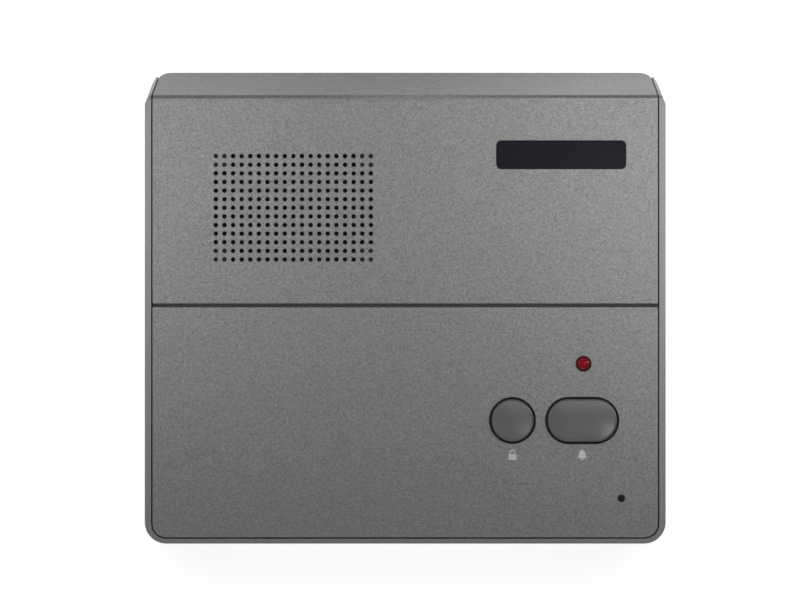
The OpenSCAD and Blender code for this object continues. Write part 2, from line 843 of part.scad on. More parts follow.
module speaker_terminals() {
    color([0.75, 0.6, 0.3]) speaker_place() {
        w = flange_top - flange_t;
        block([-5, -surround_r - 2.4, w - 1], [5, -surround_r - 0.2, w]);
        for (x = [-3, 3]) {
            block([x - 0.8, -surround_r - 1.7, w - 4], [x + 0.8, -surround_r - 1.2, w - 1 + eps]);
        }
    }
}

module speaker_clamps() {
    color(steel) speaker_place() four(boss_u, boss_v) {
        ring(clamp_d, small_screw_d + 0.4, speaker_boss_end - clamp_t, speaker_boss_end);
    }
}

module speaker_screws() {
    color(steel) speaker_place() four(boss_u, boss_v) {
        small_screw(speaker_boss_end - clamp_t, -cover_t - 0.6);
    }
}

// A small screw whose head lies below z0 and whose end is at z1
module small_screw(z0, z1) {
    difference() {
        union() {
            rod(small_head_d, z0 - small_head_h, z0);
            rod(small_screw_d, z0 - eps, z1);
        }
        cross_slot(z0 - small_head_h, 1);
    }
}

// ---------------------------------------------------------------- buttons

// Half of a button cap's cross-section, with its outer radius, from the axis outwards. A crown with a
// large radius runs smoothly into the rounded edge.
module cap_section(r) {
    crown_r = (r * r + crown_h * crown_h) / (2 * crown_h);
    crown_w = button_proud - crown_r;
    edge_at = r - button_edge_r;
    edge_w = crown_w + sqrt(pow(crown_r - button_edge_r, 2) - edge_at * edge_at);
    difference() {
        union() {
            square_from([0, flange_w], [r, edge_w]);
            translate([edge_at, edge_w]) circle(button_edge_r);
            intersection() {
                square_from([0, flange_w], [edge_at * crown_r / (crown_r - button_edge_r), button_proud]);
                translate([0, crown_w]) circle(crown_r, $fn = 720);
            }
            square_from([0, flange_w - flange_h], [r + button_gap + flange_out, flange_w]);
        }
        // hollow underside around the plunger socket
        square_from([socket_r, -20], [r - cap_skin, button_proud - cap_skin - crown_h]);
        square_from([-20, -30], [0, 30]);
    }
}

module square_from(a, b) {
    translate(a) square(b - a);
}

module plunger_socket_hole() {
    s = plunger_s / 2 + plunger_gap;
    block([-s, -s, -20], [s, s, plunger_top]);
}

module call_button() {
    r = call_h / 2;
    color(cap_grey) face() translate([call_u, button_v, 0]) difference() {
        union() {
            for (s = [-1, 1]) intersection() {
                translate([s * call_half, 0, 0]) rotate_extrude($fn = 96) cap_section(r);
                block([s > 0 ? call_half : -big, -big, -big], [s > 0 ? big : -call_half, big, big]);
            }
            for (s = [0, 180]) rotate([0, 0, s]) rotate([90, 0, 90]) translate([0, 0, -call_half]) {
                linear_extrude(2 * call_half) call_middle_section(r);
            }
            rod(2 * socket_r, flange_w - flange_h, button_proud - 1);
        }
        plunger_socket_hole();
    }
}

// The call button's section between its round ends, without the plunger socket
module call_middle_section(r) {
    difference() {
        cap_section(r);
        square_from([-1, -20], [socket_r + eps, button_proud - cap_skin - crown_h]);
    }
}

module privacy_button() {
    color(cap_grey) face() translate([privacy_u, button_v, 0]) difference() {
        rotate_extrude($fn = 96) cap_section(privacy_d / 2);
        plunger_socket_hole();
    }
}

module plunger() {
    s = plunger_s / 2;
    block([-s, -s, plunger_end], [s, s, plunger_top]);
}

module call_plunger() {
    color([0.85, 0.85, 0.82]) face() translate([call_u, button_v, 0]) plunger();
}

module privacy_plunger() {
    color([0.85, 0.85, 0.82]) face() translate([privacy_u, button_v, 0]) plunger();
}

// A tube swept along points, with rings square to the path
module tube(path, r, sides) {
    n = len(path);
    rings = [for (i = [0:n - 1]) let (
        t = path[min(i + 1, n - 1)] - path[max(i - 1, 0)],
        d = t / norm(t),
        up = abs(d[2]) < 0.9 ? [0, 0, 1] : [1, 0, 0],
        x = cross(up, d) / norm(cross(up, d)),
        y = cross(d, x)
    ) for (k = [0:sides - 1]) path[i] + r * (cos(360 * k / sides) * x + sin(360 * k / sides) * y)];
    ends = [
        [for (k = [0:sides - 1]) sides - 1 - k],
        [for (k = [0:sides - 1]) (n - 1) * sides + k]
    ];
    walls = [for (i = [0:n - 2], k = [0:sides - 1]) let (
        a = i * sides + k, b = i * sides + (k + 1) % sides
    ) each [[a, b, b + sides], [a, b + sides, a + sides]]];
    polyhedron(rings, concat([for (e = ends) each [for (k = [1:sides - 2]) [e[0], e[k + 1], e[k]]]],
        [for (f = walls) [f[0], f[2], f[1]]]));
}

// A return spring between the switch body and the underside of a cap
module return_spring() {
    z0 = switch_top + spring_wire_d / 2 + 0.05;
    rise = spring_top - spring_wire_d / 2 - 0.05 - z0;
    steps = 14 * spring_turns;
    // the first and the last turn lie nearly flat
    path = [for (i = [0:steps]) let (a = i / steps, f = 3 * a * a - 2 * a * a * a) [
        spring_r * cos(360 * spring_turns * a), spring_r * sin(360 * spring_turns * a), z0 + rise * f
    ]];
    tube(path, spring_wire_d / 2, 6);
}

module call_spring() {
    color(steel) face() translate([call_u, button_v, 0]) return_spring();
}

module privacy_spring() {
    color(steel) face() translate([privacy_u, button_v, 0]) return_spring();
}

// A square push switch on the main board, with the well that its plunger runs in
module switch_body() {
    s = plunger_s / 2 + plunger_gap;
    difference() {
        union() {
            block([-switch_s / 2, -switch_s / 2, -board_w], [switch_s / 2, switch_s / 2, switch_top]);
            for (x = [-2.5, 0, 2.5], y = [-3, 3]) {
                block([x - 0.3, y - 0.3, -board_w - board_t - solder_l], [x + 0.3, y + 0.3, -board_w + eps]);
            }
        }
        block([-s, -s, plunger_well], [s, s, 0]);
    }
}

module call_switch_body() {
    color([0.2, 0.2, 0.22]) face() translate([call_u, button_v, 0]) switch_body();
}

module privacy_switch_body() {
    color([0.2, 0.2, 0.22]) face() translate([privacy_u, button_v, 0]) switch_body();
}

// ---------------------------------------------------------------- lamp and microphone

module led_lens() {
    r = led_d / 2;
    color([0.42, 0.02, 0.05]) face() translate([led_u, led_v, 0]) {
        rotate_extrude($fn = 64) intersection() {
            union() {
                square_from([0, led_bottom], [r, led_proud - r]);
                translate([0, led_proud - r]) circle(r, $fn = 96);
                square_from([0, led_bottom], [led_flange_r, led_bottom + led_flange_t]);
            }
            square_from([0, -20], [20, 20]);
        }
    }
}

module led_leads() {
    color(steel) face() translate([led_u, led_v, 0]) for (s = [-1, 1]) {
        x = s * lead_pitch / 2;
        low = -board_w - board_t - solder_l;
        block([x - lead_s / 2, -lead_s / 2, low], [x + lead_s / 2, lead_s / 2, led_bottom]);
    }
}

module led_spacer() {
    color([0.9, 0.9, 0.88]) face() translate([led_u, led_v, 0]) difference() {
        rod(led_d + 0.6, -board_w, led_bottom);
        for (s = [-1, 1]) {
            x = s * lead_pitch / 2;
            block([x - 0.4, -0.4, -20], [x + 0.4, 0.4, 0]);
        }
    }
}

module microphone() {
    color(steel) face() translate([mic_u, mic_v, 0]) {
        difference() {
            rod(mic_d - 0.04, mic_front - mic_l, mic_front);
            rod(1.8, mic_front - 0.4, mic_front + 1);
        }
    }
}

module microphone_boot() {
    d = mic_d + 2 * mic_boot_t;
    color([0.07, 0.07, 0.07]) face() translate([mic_u, mic_v, 0]) difference() {
        rod(d, mic_front - mic_l - 0.4, -cover_t);
        rod(mic_d, mic_front - mic_l - 2, mic_front);
        rod(3, mic_front - 1, 0);
    }
}

// ---------------------------------------------------------------- main board

module main_board() {
    color(board_green) face() difference() {
        block([board_u0, board_v0, -board_w - board_t], [board_u1, board_v1, -board_w]);
        for (p = board_bosses) translate([p[0], p[1], 0]) rod(small_screw_d + 0.6, -20, 0);
        for (u = [call_u, privacy_u], x = [-2.5, 0, 2.5], y = [-3, 3]) {
            block([u + x - 0.35, button_v + y - 0.35, -20], [u + x + 0.35, button_v + y + 0.35, 0]);
        }
        for (s = [-1, 1]) translate([led_u + s * lead_pitch / 2, led_v, 0]) rod(lead_s * 1.6, -20, 0);
        for (p = pin_places()) translate([p[0], p[1], 0]) rod(0.9, -20, 0);
    }
}

module board_screws() {
    color(steel) face() for (p = board_bosses) translate([p[0], p[1], 0]) {
        small_screw(-board_w - board_t, -board_w + 6);
    }
}

// Places of a chip's pins, for n pins in each row
function chip_rows(at, n) = [for (i = [0:n - 1], s = [-1, 1])
    [at[0] + (i - (n - 1) / 2) * pin_pitch, at[1] + s * pin_row]];
function pin_places() = concat(
    chip_rows(voice_chip_at, voice_pins), chip_rows(amplifier_chip_at, amplifier_pins)
);

module chip(at, n) {
    l = n * pin_pitch - 0.6;
    top = -board_w + chip_stand + chip_h;
    face() translate([at[0], at[1], 0]) difference() {
        block([-l / 2, -chip_w / 2, top - chip_h], [l / 2, chip_w / 2, top]);
        translate([-l / 2, 0, 0]) rod(1.6, top - 0.3, 0);
    }
}

module voice_chip() {
    color(chip_black) chip(voice_chip_at, voice_pins);
}

module amplifier_chip() {
    color(chip_black) chip(amplifier_chip_at, amplifier_pins);
}

// Pins of both chips: a shoulder beside the body and a leg through the board
module chip_pins() {
    mid = -board_w + chip_stand + chip_h / 2;
    low = -board_w - board_t - solder_l;
    color(steel) face() {
        for (row = [[voice_chip_at, voice_pins], [amplifier_chip_at, amplifier_pins]]) {
            for (p = chip_rows(row[0], row[1])) {
                s = p[1] > row[0][1] ? 1 : -1;
                edge = row[0][1] + s * chip_w / 2;
                a = min(edge, p[1] + s * 0.15);
                b = max(edge, p[1] + s * 0.15);
                block([p[0] - 0.5, a, mid - 0.15], [p[0] + 0.5, b, mid + 0.15]);
                block([p[0] - 0.25, p[1] - 0.15, low], [p[0] + 0.25, p[1] + 0.15, mid]);
            }
        }
    }
}

// Upright cans with a groove near the foot
module electrolytic_capacitors() {
    color([0.1, 0.13, 0.3]) face() for (c = cans) translate(concat(board_place(c[0]), [-board_w])) {
        r = c[1] / 2;
        h = c[2];
        rotate_extrude() polygon([
            [0, 0], [r, 0], [r, 1], [r - 0.35, 1.35], [r, 1.7], [r, h - 0.4], [r - 0.4, h], [0, h]
        ]);
    }
}

module film_capacitors() {
    color([0.7, 0.3, 0.12]) face() for (f = films) {
        p = board_place(f);
        block([p[0] - 3.6, p[1] - 1.5, -board_w], [p[0] + 3.6, p[1] + 1.5, -board_w + 6.5]);
    }
}

// Axial resistors lying on the board, each with its bent wires
module resistors() {
    color([0.75, 0.62, 0.42]) face() for (share = resistor_shares) {
        translate(concat(board_place([share, resistor_row]), [-board_w])) resistor();
    }
}

module resistor() {
    translate([0, -3.1, 1.3]) rotate([-90, 0, 0]) cylinder(d = 2.3, h = 6.2);
    translate([0, -4.6, 1.3]) rotate([-90, 0, 0]) cylinder(d = 0.6, h = 9.2);
    for (s = [-1, 1]) block([-0.3, s * 4.6 - 0.3, 0], [0.3, s * 4.6 + 0.3, 1.6]);
}

module trimmers() {
    color([0.15, 0.3, 0.6]) face() for (p = trimmer_places) translate(concat(board_place(p), [-board_w])) {
        difference() {
            block([-3.3, -3.3, 0], [3.3, 3.3, 4.6]);
            rod(4.4, 3.8, 6);
            translate([0, 0, 3.6]) cube([3.2, 0.7, 1], center = true);
        }
    }
}

module heat_sink() {
    color([0.75, 0.76, 0.78]) face() translate([sink_at[0], sink_at[1], -board_w]) {
        block([-8, 0, 0], [8, 1.4, sink_h]);
        for (i = [-3:3]) block([i * 2.5 - 0.5, 1.4 - eps, 0], [i * 2.5 + 0.5, 6, sink_h]);
    }
}

// A three-pin regulator that lies against the upright heat sink

module regulator() {
    color(chip_black) face() translate([sink_at[0], sink_at[1], -board_w]) {
        block([-5, -4.4, 3.4], [5, 0, sink_h - 0.4]);
        for (i = [-1:1]) block([i * 2.54 - 0.4, -2.4, 0], [i * 2.54 + 0.4, -2, 3.4 + eps]);
    }
}

module wire_headers() {
    color([0.93, 0.92, 0.88]) face() {
        for (h = [[speaker_header, 0], [mic_header, -90]]) {
            translate([h[0][0], h[0][1], 0]) rotate([0, 0, h[1]]) difference() {
                block([-3.8, -2.4, -board_w], [3.8, 2.4, -board_w + header_h]);
                for (s = [-1, 1]) translate([s * 1.5, 3, header_hole_w]) {
                    rotate([90, 0, 0]) cylinder(d = 1.4, h = 3);
                }
            }
        }
    }
}

// A smooth path through four control points
function bend_point(p, t) = pow(1 - t, 3) * p[0] + 3 * t * pow(1 - t, 2) * p[1]
    + 3 * t * t * (1 - t) * p[2] + t * t * t * p[3];
function bend_path(p, n) = [for (i = [0:n]) bend_point(p, i / n)];

module speaker_wires() {
    w = flange_top - flange_t - 2.6;
    v = grille_v - surround_r - 1.45;
    color([0.7, 0.1, 0.1]) face() for (s = [-1, 1]) {
        a = [grille_u + s * 3, v - 0.7, w - 0.4];
        b = [speaker_header[0] + s * 1.5, speaker_header[1] + 1, header_hole_w];
        tube(bend_path([a, a + [0, -8, -1], b + [0, 10, 0], b], 24), 0.45, 8);
    }
}

module microphone_wires() {
    color([0.9, 0.9, 0.9]) face() for (s = [-1, 1]) {
        a = [mic_u + s * 1.27, mic_v, mic_front - mic_l - 0.05];
        b = [mic_header[0] + 1, mic_header[1] + s * 1.5, header_hole_w];
        tube(bend_path([a, a + [0, 0, -4], b + [7, 0, 0], b], 20), 0.4, 8);
    }
}

// Wires from pads under the main board to the socket board and to the volume board
module board_wires() {
    pad_gap = 0.12;
    pad_w = -board_w - board_t - pad_gap;
    pitch = 1.6;
    color([0.85, 0.75, 0.2]) base() for (i = [-1:1]) {
        a = [board_u0 + 3 + pitch * i, base_y(board_v1 - 22, pad_w), base_z(board_v1 - 22, pad_w)];
        b = [socket_u1 - 4.5 + pitch * i, socket_y0 + 9, socket_z + pad_gap];
        tube(bend_path([a, a + [0, 0, -5], b + [0, 0, 8], b], 18), 0.5, 8);
        c = [volume_u0 + 3 + pitch * i, base_y(50, pad_w), base_z(50, pad_w)];
        d = [c[0], c[1] + 3.5, volume_z + pad_gap];
        tube(bend_path([c, c + [0, 0, -3], d + [0, 0, 3], d], 12), 0.5, 8);
    }
}

// ---------------------------------------------------------------- left side: sockets and power switch

module socket_board() {
    color(board_green) base() difference() {
        block([socket_u0, socket_y0, socket_z - board_t], [socket_u1, socket_y1, socket_z]);
        for (p = socket_posts) translate([p[0], p[1], 0]) rod(small_screw_d + 0.6, 0, 30);
    }
}

module power_jack() {
    color(chip_black) base() difference() {
        block([-wall_u + 0.3, power_y - 4.5, socket_z], [-wall_u + 14.5, power_y + 4.5, socket_z + 11]);
        translate([-half_w, power_y, power_z]) rotate([0, 90, 0]) cylinder(d = power_bore_d, h = rim_t + 10);
    }
}

module line_jack() {
    nose_d = line_bore_d + 2;
    color(chip_black) base() difference() {
        union() {
            block([-wall_u + 0.5, line_y - 3.2, socket_z], [-wall_u + line_l, line_y + 3.2, line_z + 2.9]);
            translate([-wall_u - 1.4, line_y, line_z]) rotate([0, 90, 0]) cylinder(d = nose_d, h = 3);
        }
        translate([-half_w, line_y, line_z]) rotate([0, 90, 0]) {
            cylinder(d = line_bore_d, h = rim_t + line_l - 1.5);
        }
    }
}

// The centre pin of the power jack and the solder tags of the line jack
module jack_contacts() {
    color([0.8, 0.65, 0.3]) base() {
        translate([-wall_u + 2.5, power_y, power_z]) rotate([0, 90, 0]) cylinder(d = 2, h = 7.5);
        for (i = [0:1]) {
            x = -wall_u + 4.5 + 4 * i;
            block([x, line_y + 3.2, socket_z], [x + 1.2, line_y + 3.6, line_z + 1]);
        }
    }
}

// Frame of the slide switch, with the slot that its knob runs in
module switch_frame() {
    u0 = -wall_u + 1.6;
    run = knob_l + switch_travel + 0.4;
    color(steel) base() difference() {
        block([u0, switch_y - switch_l / 2, socket_z], [u0 + 5, switch_y + switch_l / 2, switch_z + 2.2]);
        block([u0 - 1, switch_y - run / 2, switch_z - knob_h / 2 - 0.1],
            [u0 + 3.4, switch_y + run / 2, switch_z + knob_h / 2 + 0.1]);
    }
}

// At rest the knob lies at the front end of its travel
module switch_knob() {
    y = switch_y - switch_travel / 2;
    color([0.06, 0.06, 0.06]) base() {
        block([-half_w + 0.3, y - knob_l / 2, switch_z - knob_h / 2],
            [-wall_u + 4.7, y + knob_l / 2, switch_z + knob_h / 2]);
    }
}

// ---------------------------------------------------------------- right side: volume controls

module volume_board() {
    color(board_green) base() difference() {
        block([volume_u0, volume_y0, volume_z - board_t], [volume_u1, volume_y1, volume_z]);
        for (y = [talk_y, listen_y]) {
            block([wheel_u - wheel_d / 2 - 0.8, y - wheel_t / 2 - 0.5, 0], [big, y + wheel_t / 2 + 0.5, 30]);
        }
        for (p = volume_posts) translate([p[0], p[1], 0]) rod(small_screw_d + 0.6, 0, 30);
    }
}

// Each potentiometer stands on the volume board in front of its wheel and holds the wheel's shaft
module volume_pots() {
    color([0.25, 0.25, 0.27]) base() for (y = [talk_y, listen_y]) {
        y1 = y - wheel_t / 2 - pot_gap;
        difference() {
            union() {
                translate([wheel_u, y1, wheel_z]) rotate([90, 0, 0]) cylinder(d = pot_d, h = pot_l);
                block([wheel_u - 4, y1 - pot_l, volume_z], [wheel_u + 4, y1, wheel_z - 2]);
            }
            translate([wheel_u, y1 + 1, wheel_z]) rotate([90, 0, 0]) {
                cylinder(d = shaft_d + 2 * shaft_gap, h = pot_l);
            }
        }
    }
}

// A knurled wheel on its shaft, in the frame of its centre, with the shaft towards the front
module thumbwheel() {
    knurls = 36;
    rotate([90, 0, 0]) difference() {
        union() {
            translate([0, 0, -wheel_t / 2]) cylinder(d = wheel_d, h = wheel_t, $fn = 96);
            translate([0, 0, wheel_t / 2 - eps]) cylinder(d = shaft_d, h = pot_gap + pot_l - 1.3);
        }
        for (i = [0:knurls - 1]) rotate([0, 0, i * 360 / knurls]) {
            translate([wheel_d / 2 + 0.25, 0, -wheel_t]) cylinder(r = 0.55, h = 2 * wheel_t, $fn = 16);
        }
        translate([0, 0, -wheel_t / 2 - 1]) cylinder(d = wheel_screw_head_d + 0.4, h = 2);
        translate([0, 0, -wheel_t]) cylinder(d = wheel_screw_d + 2 * thread_gap, h = wheel_t + 3);
    }
}

module wheel_screw() {
    rotate([90, 0, 0]) difference() {
        union() {
            translate([0, 0, -wheel_t / 2]) cylinder(d = wheel_screw_head_d, h = 1);
            translate([0, 0, -wheel_t / 2 + 1 - eps]) cylinder(d = wheel_screw_d, h = wheel_t + 0.6);
        }
        translate([0, 0, -wheel_t / 2]) cube([2.2, 0.5, 0.8], center = true);
    }
}

module talk_wheel() {
    color([0.08, 0.08, 0.08]) base() translate([wheel_u, talk_y, wheel_z]) thumbwheel();
}

module listen_wheel() {
    color([0.08, 0.08, 0.08]) base() translate([wheel_u, listen_y, wheel_z]) thumbwheel();
}

module wheel_screws_talk() {
    color(steel) base() translate([wheel_u, talk_y, wheel_z]) wheel_screw();
}

module wheel_screws_listen() {
    color(steel) base() translate([wheel_u, listen_y, wheel_z]) wheel_screw();
}

// Screws of both side boards, with their heads on the boards
module side_board_screws() {
    color(steel) base() {
        for (p = socket_posts) translate([p[0], p[1], 0]) upright_screw(socket_z);
        for (p = volume_posts) translate([p[0], p[1], 0]) upright_screw(volume_z);
    }
}

module upright_screw(z) {
    difference() {
        union() {
            rod(small_head_d, z, z + small_head_h);
            rod(small_screw_d, z - 6.5, z + eps);
        }
        cross_slot(z + small_head_h, -1);
    }
}

base_shell();
speaker_cover();
button_panel();
label_plate();
button_marks();
rubber_feet();
case_screws();
acoustic_cloth();
speaker_gasket();
speaker_frame();
speaker_cone();
dust_cap();
voice_coil();
front_plate();
speaker_magnet();
speaker_yoke();
speaker_terminals();
speaker_clamps();
speaker_screws();
call_button();
call_plunger();
call_spring();
call_switch_body();
privacy_button();
privacy_plunger();
privacy_spring();
privacy_switch_body();
led_lens();
led_leads();
led_spacer();
microphone();
microphone_boot();
main_board();
board_screws();
voice_chip();
amplifier_chip();
chip_pins();
electrolytic_capacitors();
film_capacitors();
resistors();
trimmers();
heat_sink();
regulator();
wire_headers();
speaker_wires();
microphone_wires();
board_wires();
socket_board();
power_jack();
jack_contacts();
line_jack();
switch_frame();
switch_knob();
volume_board();
volume_pots();
talk_wheel();
listen_wheel();
wheel_screws_talk();
wheel_screws_listen();
side_board_screws();
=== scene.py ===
"""Looks of the teller window intercom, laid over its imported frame.

Lengths are in millimetres until face_place() or base_place() turns them into metres of the frame. On the
front face u runs right from the middle, v up the tilted face from its lower edge and w out of it. Over the
underside y runs back from the housing's front and z up from its underside.
"""
import math

import bmesh
import bpy
import numpy as np
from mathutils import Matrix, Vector


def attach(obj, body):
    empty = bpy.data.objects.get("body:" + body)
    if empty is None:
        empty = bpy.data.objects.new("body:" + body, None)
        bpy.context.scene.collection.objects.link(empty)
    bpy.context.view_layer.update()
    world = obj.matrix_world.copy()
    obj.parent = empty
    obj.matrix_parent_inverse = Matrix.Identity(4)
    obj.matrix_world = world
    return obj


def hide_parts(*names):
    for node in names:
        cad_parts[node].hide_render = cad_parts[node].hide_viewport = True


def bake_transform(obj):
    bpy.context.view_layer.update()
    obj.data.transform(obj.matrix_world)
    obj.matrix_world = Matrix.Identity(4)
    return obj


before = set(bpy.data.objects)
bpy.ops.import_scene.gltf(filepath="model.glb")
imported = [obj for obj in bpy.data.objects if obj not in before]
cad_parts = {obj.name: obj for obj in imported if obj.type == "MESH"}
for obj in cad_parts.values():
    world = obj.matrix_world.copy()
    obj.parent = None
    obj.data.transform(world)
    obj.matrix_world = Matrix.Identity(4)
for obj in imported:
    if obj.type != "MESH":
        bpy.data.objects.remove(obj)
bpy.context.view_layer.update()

MM = 0.001
TILT = math.radians(8)
FOOT_H = 2.5                                 # the housing's underside over the table
FRONT_H = 28.0                               # the front face's lower edge over the underside
MID_Y = 80.8569                              # the footprint's middle behind the housing's front
UP_FACE = (0.0, math.cos(TILT), math.sin(TILT))
NORMAL = (0.0, -math.sin(TILT), math.cos(TILT))

# Middles of things on the front face, as (u, v), and of the feet under the housing, as (u, y).
PRIVACY_AT = (35, 40.2)
CALL_AT = (57.75, 40.2)
LAMP_AT = (58.2, 58.7)
LABEL_AT = (50.9, 126.9)
GRILLE_AT = (-36.5, 109.6)
FEET_AT = [(-69, 14.5), (69, 14.5), (-69, 146.655), (69, 146.655)]


def base_place(u, y, z):
    """Points over the underside, in metres: the footprint's middle is the origin, the feet stand on zero."""
    u, y, z = np.broadcast_arrays(u, y, z)
    return np.stack([u, y - MID_Y, z + FOOT_H], axis=-1) * MM


def face_place(u, v, w):
    """Points over the front face, in metres: the face is the level plane turned up by its tilt."""
    v, w = np.asarray(v, float), np.asarray(w, float)
    return base_place(u, v * math.cos(TILT) - w * math.sin(TILT),
                      FRONT_H + v * math.sin(TILT) + w * math.cos(TILT))


def new_object(name, data):
    """An object that holds the data and stands in the scene."""
    made = bpy.data.objects.new(name, data)
    bpy.context.scene.collection.objects.link(made)
    return made


# ------------------------------------------------------------------ camera

CAMERA_PLACE = (-1.7, 79.5, 1390)
SENSOR_WIDTH, FOCAL_LENGTH = 36, 191.7


def stand_camera():
    """Square to the front face, 1.39 m over a point near its middle."""
    data = bpy.data.cameras.new("camera")
    data.sensor_width = SENSOR_WIDTH
    data.lens = FOCAL_LENGTH
    data.clip_start, data.clip_end = 0.05, 20
    camera = new_object("camera", data)
    camera.location = face_place(*CAMERA_PLACE)
    camera.rotation_euler = (TILT, 0, 0)
    bpy.context.scene.camera = camera


stand_camera()


# ------------------------------------------------------------------ building of finishes

class Wire:
    """A socket of a finish. Arithmetic on it adds Math nodes."""

    def __init__(self, finish, socket):
        self.finish, self.socket = finish, socket

    def math(self, operation, *values):
        """A Math node over values that are numbers or wires."""
        return self.finish.node("ShaderNodeMath", {"operation": operation}, dict(enumerate(values)))

    def __add__(self, other):
        return self.math("ADD", self, other)

    def __mul__(self, other):
        return self.math("MULTIPLY", self, other)

    def __sub__(self, other):
        return self.math("SUBTRACT", self, other)

    def __rsub__(self, other):
        return self.math("SUBTRACT", other, self)

    def __abs__(self):
        return self.math("ABSOLUTE", self)

    def sine(self):
        return self.math("SINE", self)

    __radd__, __rmul__ = __add__, __mul__


class Finish:
    """A node material in the making."""

    # The Mix node's sockets for colours come after those for numbers and vectors.
    MIX_FACTOR, MIX_FROM, MIX_TO, MIX_RESULT = 0, 6, 7, 2

    def __init__(self, name):
        self.material = bpy.data.materials.new(name)
        self.material.use_nodes = True
        self.tree = self.material.node_tree
        self.tree.nodes.clear()
        self.place = self.node("ShaderNodeTexCoord", output="Object")

    def node(self, kind, settings=None, values=None, output=0):
        """A node of a kind, with its settings, then the values or wires of its sockets."""
        made = self.tree.nodes.new(kind)
        for key, value in (settings or {}).items():
            setattr(made, key, value)
        for key, value in (values or {}).items():
            if isinstance(value, Wire):
                self.tree.links.new(value.socket, made.inputs[key])
            else:
                made.inputs[key].default_value = value
        return Wire(self, made.outputs[output])

    def clouds(self, size, detail, roughness):
        """Noise from 0 to 1 whose lumps are about size millimetres across."""
        return self.node("ShaderNodeTexNoise", None, {
            "Vector": self.place, "Scale": 1 / (size * MM), "Detail": detail, "Roughness": roughness})

    def cells(self, size, feature="F1"):
        """Distance to the nearest of scattered points, size millimetres apart, or to the edge between two."""
        return self.node("ShaderNodeTexVoronoi", {"feature": feature},
                         {"Vector": self.place, "Scale": 1 / (size * MM)}, "Distance")

    def ramp(self, wire, low, high):
        """0 at low, 1 at high and a smooth step between them, whichever of the two is larger."""
        return self.node("ShaderNodeMapRange", {"interpolation_type": "SMOOTHSTEP"},
                         {"Value": wire, "From Min": low, "From Max": high})

    def along(self, direction):
        """Distance along a direction from the origin, in millimetres."""
        return self.node("ShaderNodeVectorMath", {"operation": "DOT_PRODUCT"},
                         {0: self.place, 1: [c / MM for c in direction]}, "Value")

    def over_face(self, direction):
        """Distance along a direction in millimetres, from the lower edge of the front face."""
        start = sum(a * b for a, b in zip(direction, face_place(0, 0, 0) / MM))
        return self.along(direction) - start

    def mix(self, a, b, factor):
        """From colour a to colour b as the factor goes from 0 to 1."""
        return self.node("ShaderNodeMix", {"data_type": "RGBA"},
                         {self.MIX_FACTOR: factor, self.MIX_FROM: a, self.MIX_TO: b}, self.MIX_RESULT)

    def bump(self, height, depth):
        """A normal lifted by a height of 0 to 1 over a depth in millimetres."""
        return self.node("ShaderNodeBump", None, {"Height": height, "Distance": depth * MM})

    def done(self, colour, roughness, normal, **fixed):
        """The material with this colour, roughness and normal, and fixed values on its other sockets."""
        values = {"Base Color": colour, "Roughness": roughness, "Normal": normal}
        values.update({key.replace("_", " "): value for key, value in fixed.items()})
        shader = self.node("ShaderNodeBsdfPrincipled", None, values)
        end = self.tree.nodes.new("ShaderNodeOutputMaterial")
        self.tree.links.new(shader.socket, end.inputs["Surface"])
        return self.material


def tone(red, green, blue):
    """A colour written in screen levels from 0 to 255, as linear light."""
    levels = [c / 255 for c in (red, green, blue)]
    return tuple(c / 12.92 if c < 0.04 else ((c + 0.055) / 1.055) ** 2.4 for c in levels) + (1.0,)


def shade(colour, by):
    """A colour made darker or lighter by a factor."""
    return tuple(c * by for c in colour[:3]) + (1.0,)


# ------------------------------------------------------------------ building of meshes

EXACT, CLOSE = 1e-7, 2e-6                    # metres within which two points are one


def mesh_piece(name, points, faces, material, body="case"):
    """A smooth object from points in metres and faces of corner numbers, riding on a body if one is named."""
    mesh = bpy.data.meshes.new(name)
    mesh.from_pydata(points.reshape(-1, 3).tolist(), [], faces)
    mesh.validate()
    mesh.polygons.foreach_set("use_smooth", [True] * len(mesh.polygons))
    mesh.materials.append(material)
    piece = new_object(name, mesh)
    if body:
        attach(piece, body)
    return piece


def grid_faces(rows, columns, closed_rows=False, closed_columns=False):
    """Four-sided faces between neighbouring points of a grid, wrapped round where it is closed."""
    i = np.arange(rows if closed_rows else rows - 1)
    j = np.arange(columns if closed_columns else columns - 1)
    a, b = np.meshgrid(i, j, indexing="ij")
    c, d = (a + 1) % rows, (b + 1) % columns
    corners = [a * columns + b, a * columns + d, c * columns + d, c * columns + b]
    return np.stack(corners, axis=-1).reshape(-1, 4)


def close_up(piece, distance, crease):
    """Points of a closed piece within the distance become one and its faces turn outwards. Edges steeper than
    the crease, in degrees, stay sharp, and the rest are shaded smooth."""
    work = bmesh.new()
    work.from_mesh(piece.data)
    bmesh.ops.remove_doubles(work, verts=work.verts, dist=distance)
    bmesh.ops.dissolve_degenerate(work, edges=work.edges, dist=distance)
    bmesh.ops.recalc_face_normals(work, faces=work.faces)
    work.to_mesh(piece.data)
    work.free()
    piece.data.set_sharp_from_angle(angle=math.radians(crease))


def carried_round(profile, half, sides):
    """A profile of (distance, height) carried round a stadium: the distance is measured outwards from a
    core line of the given half length, so that a half of zero gives a turned piece."""
    angle = np.linspace(0, 2 * math.pi, sides, endpoint=False) + math.pi / sides
    core = np.where(np.cos(angle) > 0, half, -half)
    distance, height = np.asarray(profile, float).T
    u = core[None, :] + distance[:, None] * np.cos(angle)[None, :]
    v = distance[:, None] * np.sin(angle)[None, :]
    return u, v, np.repeat(height[:, None], sides, axis=1)


def arc(centre, radius, start, end, steps):
    """Points on a circle from one angle to another, in degrees."""
    t = np.radians(np.linspace(start, end, steps + 1))
    return np.stack([centre[0] + radius * np.cos(t), centre[1] + radius * np.sin(t)], axis=-1).tolist()


# ------------------------------------------------------------------ kinds of finish

